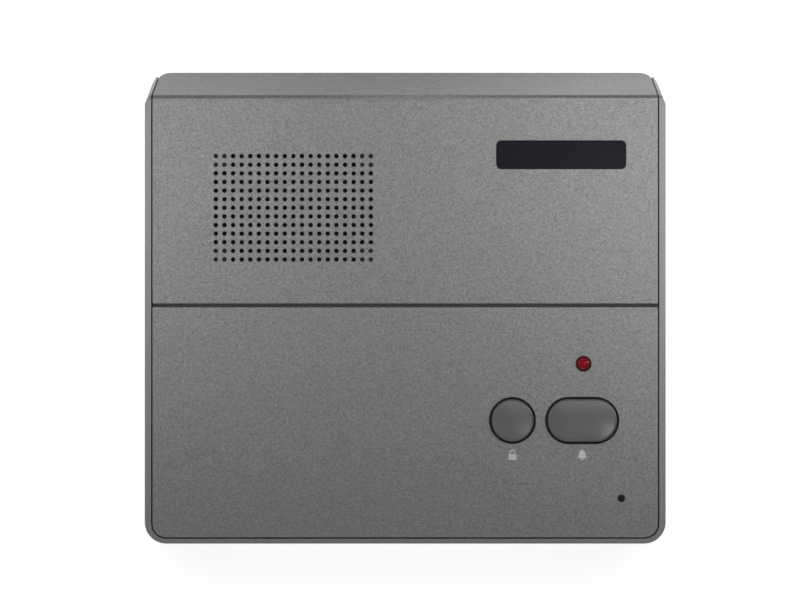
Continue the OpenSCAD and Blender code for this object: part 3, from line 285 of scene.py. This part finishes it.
def moulded(name, colour, rough, grain, depth, vary, cloud, **fixed):
    """A moulded skin: soft clouds of two near tones, a fine grain and a slightly uneven polish."""
    f = Finish(name)
    fine = f.clouds(grain, 3, 0.6)
    soft = f.clouds(cloud, 2, 0.5)
    mixed = soft * 0.6 + fine * 0.4
    return f.done(f.mix(shade(colour, 1 - vary), shade(colour, 1 + vary), mixed),
                  rough + (soft - 0.5) * 0.12, f.bump(fine, depth), **fixed)


def case_skin(name, colour, depth, rough, speck, painted_shade_in_hollows=False):
    """Spark-eroded plastic: rounded specks in two sizes and a cloudy tone. Shade may be painted into the
    hollows below the front face, which are the grille holes, the groove and the gaps, as a dark grey. The
    painted shade darkens them from 0.25 to 0.9 mm below the face, and only in front of the bend, because the
    slope behind it lies below the face too."""
    f = Finish(name)
    fine = f.clouds(0.36, 2, 0.65)
    coarse = f.clouds(1.0, 2, 0.5)
    soft = f.clouds(26, 2, 0.5)
    grain = fine * 0.75 + coarse * 0.25
    base = f.mix(shade(colour, 0.96), shade(colour, 1.04), soft)
    speckled = f.mix(shade(colour, 1 - speck), shade(colour, 1 + speck), f.ramp(grain, 0.3, 0.7))
    tinted = f.mix(base, speckled, 0.7)
    # painted shade: hollows below the face are mixed towards a dark grey that stands in for the shade in them
    if painted_shade_in_hollows:
        below = f.ramp(f.over_face(NORMAL), -0.25, -0.9)
        ahead = f.ramp(f.over_face(UP_FACE), 142, 139)
        tinted = f.mix(tinted, tone(22, 22, 22), below * ahead * 0.9)
    return f.done(tinted, rough + (0.5 - grain) * 0.3, f.bump(grain, depth), Specular_IOR_Level=0.33)


def brushed(name, colour, rough=0.32):
    """Bare metal: a clouded tone, fine grain in its polish and a bright mirror."""
    f = Finish(name)
    soft = f.clouds(3, 3, 0.6)
    fine = f.clouds(0.25, 2, 0.6)
    return f.done(f.mix(shade(colour, 0.8), shade(colour, 1.05), soft), rough + (fine - 0.5) * 0.25,
                  f.bump(fine, 0.006), Metallic=1.0)


def woven(name, colour, pitch):
    """A plain weave in the plane of the face: two sets of threads that pass over each other by turns."""
    f = Finish(name)
    across = f.along((1, 0, 0)) * (math.pi / pitch)
    up = f.along(UP_FACE) * (math.pi / pitch)
    threads = across.sine() * up.sine() * 0.5 + 0.5
    fuzz = f.clouds(0.2, 3, 0.7)
    return f.done(f.mix(shade(colour, 0.5), shade(colour, 1.5), threads * 0.7 + fuzz * 0.3),
                  0.85 + (fuzz - 0.5) * 0.2, f.bump(threads + fuzz * 0.4, 0.06), Sheen_Weight=0.1)


def laminate(name, green, track, tin):
    """A circuit board: green mask over tracks that show as paler lines, with round tinned pads."""
    f = Finish(name)
    tracks = f.ramp(f.cells(7, "DISTANCE_TO_EDGE"), 0.1, 0.06)
    pads = f.ramp(f.cells(3.2), 0.22, 0.17)
    weave = f.clouds(0.5, 3, 0.6)
    printed = f.mix(f.mix(green, track, tracks), tin, pads)
    return f.done(f.mix(printed, shade(green, 0.7), weave * 0.3), 0.3 + (weave - 0.5) * 0.2,
                  f.bump(tracks + pads + weave * 0.2, 0.03))


def two_ended(name, side, top, rough=0.35):
    """A skin whose faces that look out of the front have another tone, as a can's bare end has."""
    f = Finish(name)
    normal = f.node("ShaderNodeNewGeometry", output="Normal")
    facing = f.node("ShaderNodeVectorMath", {"operation": "DOT_PRODUCT"},
                    {0: normal, 1: NORMAL}, "Value")
    end = f.ramp(facing, 0.8, 0.95)
    fine = f.clouds(0.4, 3, 0.6)
    return f.done(f.mix(f.mix(side, shade(side, 0.8), fine), f.mix(top, shade(top, 0.8), fine), end),
                  rough + (fine - 0.5) * 0.2, f.bump(fine, 0.01))


def ringed(name, ground, rings, middle):
    """A resistor's skin: coloured rings at distances up the face from its middle, over a warm ground."""
    f = Finish(name)
    up = f.along(UP_FACE) - middle
    fine = f.clouds(0.5, 2, 0.5)
    colour = f.mix(ground, shade(ground, 0.85), fine)
    for at, ring in rings:
        colour = f.mix(colour, ring, f.ramp(abs(up - at), 0.32, 0.26))
    return f.done(colour, 0.35 + (fine - 0.5) * 0.15, f.bump(fine, 0.01))


def clear_red(name):
    """Tinted epoxy: deep red, glossy, a little clear, with faint flow lines."""
    f = Finish(name)
    flow = f.clouds(1.6, 2, 0.5)
    fine = f.clouds(0.3, 2, 0.5)
    return f.done(f.mix(tone(58, 0, 6), tone(82, 0, 12), flow), 0.07 + fine * 0.04,
                  f.bump(fine, 0.002), IOR=1.6, Specular_IOR_Level=0.8, Specular_Tint=tone(255, 66, 84),
                  Subsurface_Weight=0.15, Subsurface_Scale=0.001)


def film(name):
    """A printed film over a plate: near-black navy with a soft sheen, fine dust and a cloudy polish."""
    f = Finish(name)
    soft = f.clouds(9, 3, 0.55)
    fine = f.clouds(0.3, 2, 0.6)
    return f.done(f.mix(tone(12, 12, 20), tone(17, 17, 27), soft),
                  0.45 + (fine - 0.5) * 0.12 + soft * 0.06, f.bump(fine, 0.004), Specular_IOR_Level=0.08)


# ------------------------------------------------------------------ finishes of the nodes

MOULDED = {
    # finish: material, colour, roughness, grain's size and depth in mm, variation of tone, clouds' size in mm
    "cap": ("button_satin", tone(74, 74, 74), 0.3, 0.3, 0.008, 0.05, 9),
    "ink": ("mark_ink", tone(205, 205, 207), 0.45, 0.25, 0.01, 0.06, 2),
    "rubber": ("foot_rubber", tone(34, 34, 35), 0.75, 0.6, 0.03, 0.15, 5),
    "foam": ("gasket_foam", tone(44, 44, 46), 0.9, 0.35, 0.14, 0.35, 1.2),
    "paint": ("frame_paint", tone(72, 73, 76), 0.42, 0.6, 0.02, 0.08, 8),
    "paper": ("cone_paper", tone(40, 39, 38), 0.82, 0.5, 0.06, 0.3, 2.5),
    "ferrite": ("magnet_ferrite", tone(50, 50, 53), 0.7, 0.7, 0.05, 0.18, 4),
    "black": ("black_plastic", tone(26, 26, 28), 0.38, 0.5, 0.015, 0.12, 6),
    "white": ("white_plastic", tone(214, 212, 202), 0.42, 0.5, 0.01, 0.05, 6),
    "wire_red": ("wire_red", tone(168, 26, 28), 0.4, 0.6, 0.01, 0.08, 5),
    "wire_white": ("wire_white", tone(216, 214, 208), 0.42, 0.6, 0.01, 0.05, 5),
    "wire_yellow": ("wire_yellow", tone(206, 176, 48), 0.4, 0.6, 0.01, 0.06, 5),
}
RESISTOR_RINGS = [(-1.6, tone(96, 48, 24)), (-0.6, tone(24, 24, 24)), (0.4, tone(196, 56, 32)),
                  (1.8, tone(188, 150, 60))]
FINISH = {key: moulded(*row) for key, row in MOULDED.items()}
FINISH.update({
    "covers": case_skin("covers_spark_eroded", tone(134, 133, 133), depth=0.12, rough=0.52, speck=0.56,
                        painted_shade_in_hollows=True),
    "shell": case_skin("base_satin_plastic", tone(136, 132, 132), depth=0.04, rough=0.42, speck=0.14),
    "film": film("label_film"),
    "steel": brushed("plated_steel", tone(196, 197, 200)),
    "cloth": woven("grille_cloth", tone(14, 14, 15), pitch=0.42),
    "copper": brushed("copper", tone(196, 120, 70), rough=0.3),
    "board": laminate("board_laminate", green=tone(22, 74, 42), track=tone(36, 100, 60),
                      tin=tone(176, 172, 150)),
    "lens": clear_red("lamp_epoxy"),
    "capsule": two_ended("capsule_and_felt", tone(150, 152, 156), tone(13, 13, 13), rough=0.6),
    "fins": brushed("heat_sink_aluminium", tone(182, 184, 188), rough=0.28),
    "sleeve": two_ended("can_sleeve", tone(28, 34, 66), tone(170, 172, 176)),
    "dipped": moulded("dipped_coat", tone(176, 84, 34), 0.3, 1.2, 0.03, 0.1, 3, Coat_Weight=0.4),
    "coat": ringed("resistor_coat", tone(196, 168, 122), RESISTOR_RINGS, middle=15.5),
    "trimmer": two_ended("trimmer_blue", tone(30, 72, 150), tone(40, 88, 170)),
})

NODE_FINISH = {
    "shell": ["base_shell"],
    "covers": ["speaker_cover", "button_panel"],
    "cap": ["call_button", "privacy_button"],
    "ink": ["button_marks"],
    "film": ["label_plate"],
    "rubber": ["rubber_feet", "microphone_boot"],
    "steel": ["case_screws", "front_plate", "speaker_yoke", "speaker_screws", "board_screws",
              "call_spring", "privacy_spring", "led_leads", "chip_pins", "switch_frame",
              "wheel_screws_talk", "wheel_screws_listen", "side_board_screws"],
    "cloth": ["acoustic_cloth"],
    "foam": ["speaker_gasket"],
    "paint": ["speaker_frame", "speaker_clamps"],
    "paper": ["speaker_cone", "dust_cap"],
    "ferrite": ["speaker_magnet"],
    "copper": ["voice_coil", "speaker_terminals", "jack_contacts"],
    "board": ["main_board", "socket_board", "volume_board"],
    "black": ["call_switch_body", "privacy_switch_body", "voice_chip", "amplifier_chip", "regulator",
              "power_jack", "line_jack", "switch_knob", "volume_pots", "talk_wheel", "listen_wheel"],
    "white": ["call_plunger", "privacy_plunger", "led_spacer", "wire_headers"],
    "lens": ["led_lens"],
    "capsule": ["microphone"],
    "fins": ["heat_sink"],
    "sleeve": ["electrolytic_capacitors"],
    "dipped": ["film_capacitors"],
    "coat": ["resistors"],
    "trimmer": ["trimmers"],
    "wire_red": ["speaker_wires"],
    "wire_white": ["microphone_wires"],
    "wire_yellow": ["board_wires"],
}


def dress_nodes():
    """Gives every node of the frame its finish."""
    for finish_name, nodes in NODE_FINISH.items():
        for node in nodes:
            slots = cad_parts[node].data.materials
            if len(slots) == 0:
                slots.append(FINISH[finish_name])
            for i in range(len(slots)):
                slots[i] = FINISH[finish_name]


dress_nodes()


# ------------------------------------------------------------------ shells with eased edges

def eased(node, name, width, finish):
    """A copy of a node whose sharp edges are rounded, as a mould leaves them. An edge is sharp when its two
    faces turn by more than 40 degrees. The short edges round a hole's deeper end stay as they are."""
    sharp, flat = math.radians(40), math.radians(0.6)
    rim_depth, rim_edge = 0.4, 0.4 * MM
    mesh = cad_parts[node].data.copy()
    mesh.name = name
    piece = new_object(name, mesh)
    work = bmesh.new()
    work.from_mesh(mesh)
    bmesh.ops.remove_doubles(work, verts=work.verts, dist=2e-6)
    bmesh.ops.dissolve_degenerate(work, edges=work.edges, dist=1e-6)
    bmesh.ops.dissolve_limit(work, angle_limit=flat, verts=work.verts, edges=work.edges)
    weights = work.edges.layers.float.new("bevel_weight_edge")
    normal, start = Vector(NORMAL), Vector(face_place(0, 0, 0))
    for edge in work.edges:
        middle = (edge.verts[0].co + edge.verts[1].co) / 2
        height = (middle - start).dot(normal) / MM
        in_hole = height < -rim_depth and edge.calc_length() < rim_edge
        edge[weights] = float(edge.calc_face_angle(0) > sharp and not in_hole)
    work.to_mesh(mesh)
    work.free()
    mesh.materials.clear()
    mesh.materials.append(finish)
    mesh.polygons.foreach_set("use_smooth", [True] * len(mesh.polygons))
    bevel = piece.modifiers.new("eased_edges", "BEVEL")
    bevel.width = width * MM
    bevel.segments = 2
    bevel.limit_method = "WEIGHT"
    bevel.use_clamp_overlap = True
    weigh = piece.modifiers.new("flat_faces_lead", "WEIGHTED_NORMAL")
    weigh.weight = 100
    weigh.keep_sharp = True
    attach(piece, "case")
    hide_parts(node)


eased("base_shell", "housing_base", 0.3, FINISH["shell"])
eased("speaker_cover", "upper_cover", 0.14, FINISH["covers"])
eased("button_panel", "lower_cover", 0.2, FINISH["covers"])


# ------------------------------------------------------------------ button caps

def cap(name, node, body, at, radius, half):
    """A button cap: a shallow crown that runs into a rounded edge, a straight side, a step under the panel
    and a hollow underside round a stem. The crown is a large arc, the edge a small one that touches it."""
    top, crown, edge, skin, stem = 1.8, 0.6, 0.9, 1.6, 2.6
    fillet, chamfer = 0.25, 0.2
    big = (radius ** 2 + crown ** 2) / (2 * crown)
    centre_w = top - big + math.sqrt((big - edge) ** 2 - (radius - edge) ** 2)
    meet = math.degrees(math.atan2(centre_w - (top - big), radius - edge))
    flange_w, flange_h, flange_r = -3.6, 1.0, radius + 1.5
    under = flange_w - flange_h
    hollow = top - skin - crown
    profile = arc((0, top - big), big, 90, meet, 24)
    profile += arc((radius - edge, centre_w), edge, meet, 0, 8)[1:]
    profile += [[radius, flange_w + fillet], [radius + 0.05, flange_w + 0.05], [radius + fillet, flange_w],
                [flange_r - chamfer, flange_w], [flange_r, flange_w - chamfer], [flange_r, under],
                [radius - skin, under], [radius - skin, hollow], [stem, hollow], [stem, under], [0, under]]
    u, v, w = carried_round(profile, half, 96)
    faces = grid_faces(*u.shape, closed_columns=True).tolist()
    piece = mesh_piece(name, face_place(at[0] + u, at[1] + v, w), faces, FINISH["cap"], body)
    close_up(piece, CLOSE, 50)
    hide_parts(node)


cap("privacy_cap", "privacy_button", "privacy_button_body", PRIVACY_AT, 6.95, 0)
cap("call_cap", "call_button", "call_button_body", CALL_AT, 7.0, 4.4)


# ------------------------------------------------------------------ label plate

def label():
    """A rounded rectangle whose edge rolls over: each corner is an arc, the outline shrinks as it rises."""
    length, height, corner = 42.3, 9.3, 1.6
    low, high, roll = -0.5, 0.1, 0.12
    rings = [(0.0, low), (0.0, high - roll)]
    rings += [(roll * (1 - math.cos(t)), high - roll + roll * math.sin(t)) for t in np.radians([30, 60, 90])]
    outline = []
    for side, (su, sv) in enumerate([(1, 1), (-1, 1), (-1, -1), (1, -1)]):
        centre = (su * (length / 2 - corner), sv * (height / 2 - corner))
        outline += [(centre, math.radians(side * 90 + t)) for t in np.linspace(0, 90, 9)]
    centres = np.array([c for c, _ in outline])
    angles = np.array([t for _, t in outline])
    u = np.array([centres[:, 0] + (corner - inset) * np.cos(angles) for inset, _ in rings])
    v = np.array([centres[:, 1] + (corner - inset) * np.sin(angles) for inset, _ in rings])
    w = np.array([[level] * len(outline) for _, level in rings])
    faces = grid_faces(*u.shape, closed_columns=True).tolist()
    n = len(outline)
    faces.append(list(range(n - 1, -1, -1)))
    faces.append([(len(rings) - 1) * n + k for k in range(n)])
    points = face_place(LABEL_AT[0] + u, LABEL_AT[1] + v, w)
    piece = mesh_piece("label_badge", points, faces, FINISH["film"])
    close_up(piece, EXACT, 40)
    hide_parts("label_plate")


label()


# ------------------------------------------------------------------ lamp

def lamp():
    """A turned lens: a flange, a straight barrel and a dome of the barrel's own radius."""
    radius, proud, low = 2.5, 1.7, -6.9
    flange, flange_h, chamfer = 2.95, 1.0, 0.15
    profile = [[0, low], [flange - chamfer, low], [flange, low + chamfer], [flange, low + flange_h - chamfer],
               [flange - chamfer, low + flange_h], [radius, low + flange_h + 0.1]]
    profile += arc((0, proud - radius), radius, 0, 90, 24)
    u, v, w = carried_round(profile, 0, 64)
    faces = grid_faces(*u.shape, closed_columns=True).tolist()
    points = face_place(LAMP_AT[0] + u, LAMP_AT[1] + v, w)
    piece = mesh_piece("lamp_lens", points, faces, FINISH["lens"])
    close_up(piece, CLOSE, 50)
    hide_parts("led_lens")


lamp()


# ------------------------------------------------------------------ feet, gasket and grille cloth

def foot_set():
    """Four turned feet: a rounded shoulder and a hollow of the underside like a shallow saucer."""
    radius, low, high, shoulder = 6.0, -FOOT_H, 0.6, 0.7
    rim, saucer = 1.4, 0.35
    profile = [[0, high], [radius - 0.1, high], [radius, high - 0.1], [radius, low + shoulder]]
    profile += arc((radius - shoulder, low + shoulder), shoulder, 0, -90, 6)[1:]
    profile += [[radius - rim, low], [radius - rim - 0.5, low + saucer - 0.1],
                [radius - 2 * rim - 0.2, low + saucer], [0, low + saucer]]
    points, faces, start = [], [], 0
    for foot_u, foot_y in FEET_AT:
        u, y, z = carried_round(profile, 0, 48)
        points.append(base_place(foot_u + u, foot_y + y, z).reshape(-1, 3))
        faces += (grid_faces(*u.shape, closed_columns=True) + start).tolist()
        start += u.size
    piece = mesh_piece("feet", np.concatenate(points), faces, FINISH["rubber"])
    close_up(piece, CLOSE, 50)
    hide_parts("rubber_feet")


foot_set()


def gasket():
    """A foam ring squeezed between the cover and the speaker: its two walls bulge by half a sine."""
    inner, outer, low, high, bulge = 22.0, 24.8, -5.45, -2.55, 0.12
    t = np.linspace(0, 1, 9)
    side = np.sin(math.pi * t) * bulge
    profile = np.concatenate([np.stack([outer + side - bulge, low + (high - low) * t], axis=-1),
                              np.stack([inner - side[::-1] + bulge, high + (low - high) * t], axis=-1)])
    u, v, w = carried_round(profile, 0, 96)
    faces = grid_faces(*u.shape, closed_rows=True, closed_columns=True).tolist()
    points = face_place(GRILLE_AT[0] + u, GRILLE_AT[1] + v, w)
    piece = mesh_piece("foam_ring", points, faces, FINISH["foam"])
    close_up(piece, EXACT, 50)
    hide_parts("speaker_gasket")


gasket()


def grille_cloth():
    """A cloth glued flat behind the holes, with its corners cut away round the speaker bosses. Its height is
    a product of two sines, one along each side, in waves about 3 mm long and 0.02 mm high."""
    half_l, half_h, cut, step = 28.0, 19.6, 9.0, 0.7
    behind, wave, thick = -2.36, 0.02, 0.2
    us = np.linspace(-half_l, half_l, int(2 * half_l / step) + 1)
    vs = np.linspace(-half_h, half_h, int(2 * half_h / step) + 1)
    u, v = np.meshgrid(us, vs, indexing="ij")
    w = behind + wave * np.sin(u * 1.9) * np.sin(v * 2.3)
    faces = grid_faces(*u.shape)
    middle = np.stack([u, v], axis=-1).reshape(-1, 2)[faces].mean(axis=1)
    corner = (np.abs(middle[:, 0]) > half_l - cut) & (np.abs(middle[:, 1]) > half_h - cut)
    points = face_place(GRILLE_AT[0] + u, GRILLE_AT[1] + v, w)
    piece = mesh_piece("speaker_cloth", points, faces[~corner].tolist(), FINISH["cloth"])
    work = bmesh.new()
    work.from_mesh(piece.data)
    bmesh.ops.delete(work, geom=[p for p in work.verts if not p.link_faces], context="VERTS")
    work.to_mesh(piece.data)
    work.free()
    wall = piece.modifiers.new("cloth_thickness", "SOLIDIFY")
    wall.thickness = thick * MM
    wall.offset = 0
    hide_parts("acoustic_cloth")


grille_cloth()


# ------------------------------------------------------------------ return springs

def coil(name, node, at):
    """A round wire wound five turns. Its height follows 3t² - 2t³, so that both end turns lie nearly flat."""
    wire, radius, turns, low, high = 0.25, 3.25, 5, -7.3, -0.55
    steps, sides = 36, 12
    t = np.linspace(0, 1, steps * turns + 1)
    rise = low + (high - low) * (3 * t ** 2 - 2 * t ** 3)
    a = 2 * math.pi * turns * t
    path = np.stack([radius * np.cos(a), radius * np.sin(a), rise], axis=-1)
    ahead = np.gradient(path, axis=0)
    ahead /= np.linalg.norm(ahead, axis=1, keepdims=True)
    out = np.stack([np.cos(a), np.sin(a), np.zeros_like(a)], axis=-1)
    side = np.cross(ahead, out)
    k = np.linspace(0, 2 * math.pi, sides, endpoint=False)
    rings = path[:, None, :] + wire * (np.cos(k)[None, :, None] * out[:, None, :]
                                      + np.sin(k)[None, :, None] * side[:, None, :])
    u, v, w = at[0] + rings[..., 0], at[1] + rings[..., 1], rings[..., 2]
    faces = grid_faces(*u.shape, closed_columns=True).tolist()
    last = (u.shape[0] - 1) * sides
    faces += [list(range(sides)), [last + i for i in range(sides - 1, -1, -1)]]
    piece = mesh_piece(name, face_place(u, v, w), faces, FINISH["steel"], body=None)
    close_up(piece, EXACT, 60)
    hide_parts(node)
    start, end = face_place(at[0], at[1], low), face_place(at[0], at[1], high)
    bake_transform(piece)


coil("call_coil", "call_spring", CALL_AT)
coil("privacy_coil", "privacy_spring", PRIVACY_AT)


# ------------------------------------------------------------------ floor

def seen_rays(tree):
    """1 for rays from the lens and for those mirrored or let through by a surface, and 0 for the rest."""
    path = tree.nodes.new("ShaderNodeLightPath")
    total = path.outputs["Is Camera Ray"]
    for output in ("Is Glossy Ray", "Is Transmission Ray"):
        add = tree.nodes.new("ShaderNodeMath")
        add.use_clamp = True
        tree.links.new(total, add.inputs[0])
        tree.links.new(path.outputs[output], add.inputs[1])
        total = add.outputs[0]
    return total


def grey(level):
    """An opaque grey in linear light."""
    return (level, level, level, 1)


def stage_floor():
    """A large pale floor, lighter to the lens than to the object, so that it reads white with a shadow."""
    half = 6.0                               # metres
    f = Finish("floor_pale")
    glow = f.mix(grey(0), grey(0.86), Wire(f, seen_rays(f.tree)))
    fine = f.clouds(3, 3, 0.5)
    material = f.done(f.mix(grey(0.49), grey(0.51), fine), 0.8, f.bump(fine, 0.01),
                      Emission_Color=glow, Emission_Strength=1.0)
    points = np.array([[-half, -half, 0], [half, -half, 0], [half, half, 0], [-half, half, 0]])
    floor = mesh_piece("floor", points, [[0, 1, 2, 3]], material, body=None)


stage_floor()


# ------------------------------------------------------------------ light

SOFT_BOXES = {
    # name: place and target as (u, v, w) over the front face in millimetres, size in metres, watts
    "strip_left": ((-124, 144, 250), (-40, 130, 0), (0.05, 0.35), 0.085),
    "strip_right": ((207, 144, 250), (60, 130, 0), (0.05, 0.35), 0.075),
    "rear_box": ((60, 270, 700), (30, 60, 0), (0.4, 0.22), 0.5),
    "side_right": ((165, 110, 70), (70, 100, 0), (0.05, 0.24), 0.11),
    "front_low": ((0, -250, 60), (0, -10, -15), (0.35, 0.06), 0.13),
    "side_left": ((-165, 120, 70), (-70, 115, 0), (0.05, 0.2), 0.07),
}
SPOTS = {
    # name: place and target in the same way, half of the cone in degrees, radius in metres, watts
    "spot_left": ((-280, -70, 690), (-90, 170, -15), 15, 0.1, 5.0),
    "spot_right": ((280, -70, 690), (95, 170, -15), 15, 0.1, 4.8),
    "spot_middle": ((0, -70, 690), (0, 160, -15), 15, 0.1, 0.5),
    "rear_left": ((150, 580, 250), (-90, 150, -8), 8, 0.05, 5.5),
    "rear_right": ((-150, 580, 250), (90, 150, -8), 9, 0.05, 9.5),
}
GLOW = 0.02                                  # strength of the world's light on the object


def hang_lamp(name, kind, place, target, watts):
    """A lamp of a kind, turned from its place towards its target, both given over the front face."""
    data = bpy.data.lights.new(name, kind)
    data.energy = watts
    lamp_object = new_object(name, data)
    lamp_object.visible_camera = False
    start, end = face_place(*place), face_place(*target)
    lamp_object.location = start
    lamp_object.rotation_mode = "QUATERNION"
    lamp_object.rotation_quaternion = Vector(start - end).to_track_quat("Z", "Y")
    return data


def background(tree, strength):
    """A white background of a strength."""
    made = tree.nodes.new("ShaderNodeBackground")
    made.inputs["Color"].default_value = (1, 1, 1, 1)
    made.inputs["Strength"].default_value = strength
    return made.outputs[0]


def hang_lights():
    """A strip over each side, a box high up behind, a low box at each side and in front, three soft spots on
    the upper half, two spots from behind on the slope, and an even glow all round that reads white."""
    for name, (place, target, size, watts) in SOFT_BOXES.items():
        data = hang_lamp(name, "AREA", place, target, watts)
        data.shape = "RECTANGLE"
        data.size, data.size_y = size
    for name, (place, target, half_cone, radius, watts) in SPOTS.items():
        data = hang_lamp(name, "SPOT", place, target, watts)
        data.shadow_soft_size = radius
        data.spot_size = math.radians(2 * half_cone)
        data.spot_blend = 1.0
    world = bpy.data.worlds.new("studio")
    bpy.context.scene.world = world
    world.use_nodes = True
    tree = world.node_tree
    tree.nodes.clear()
    blend = tree.nodes.new("ShaderNodeMixShader")
    end = tree.nodes.new("ShaderNodeOutputWorld")
    tree.links.new(seen_rays(tree), blend.inputs[0])
    tree.links.new(background(tree, GLOW), blend.inputs[1])
    tree.links.new(background(tree, 1.0), blend.inputs[2])
    tree.links.new(blend.outputs[0], end.inputs["Surface"])


hang_lights()
bpy.context.scene.view_settings.view_transform = "Standard"

bpy.context.view_layer.update()
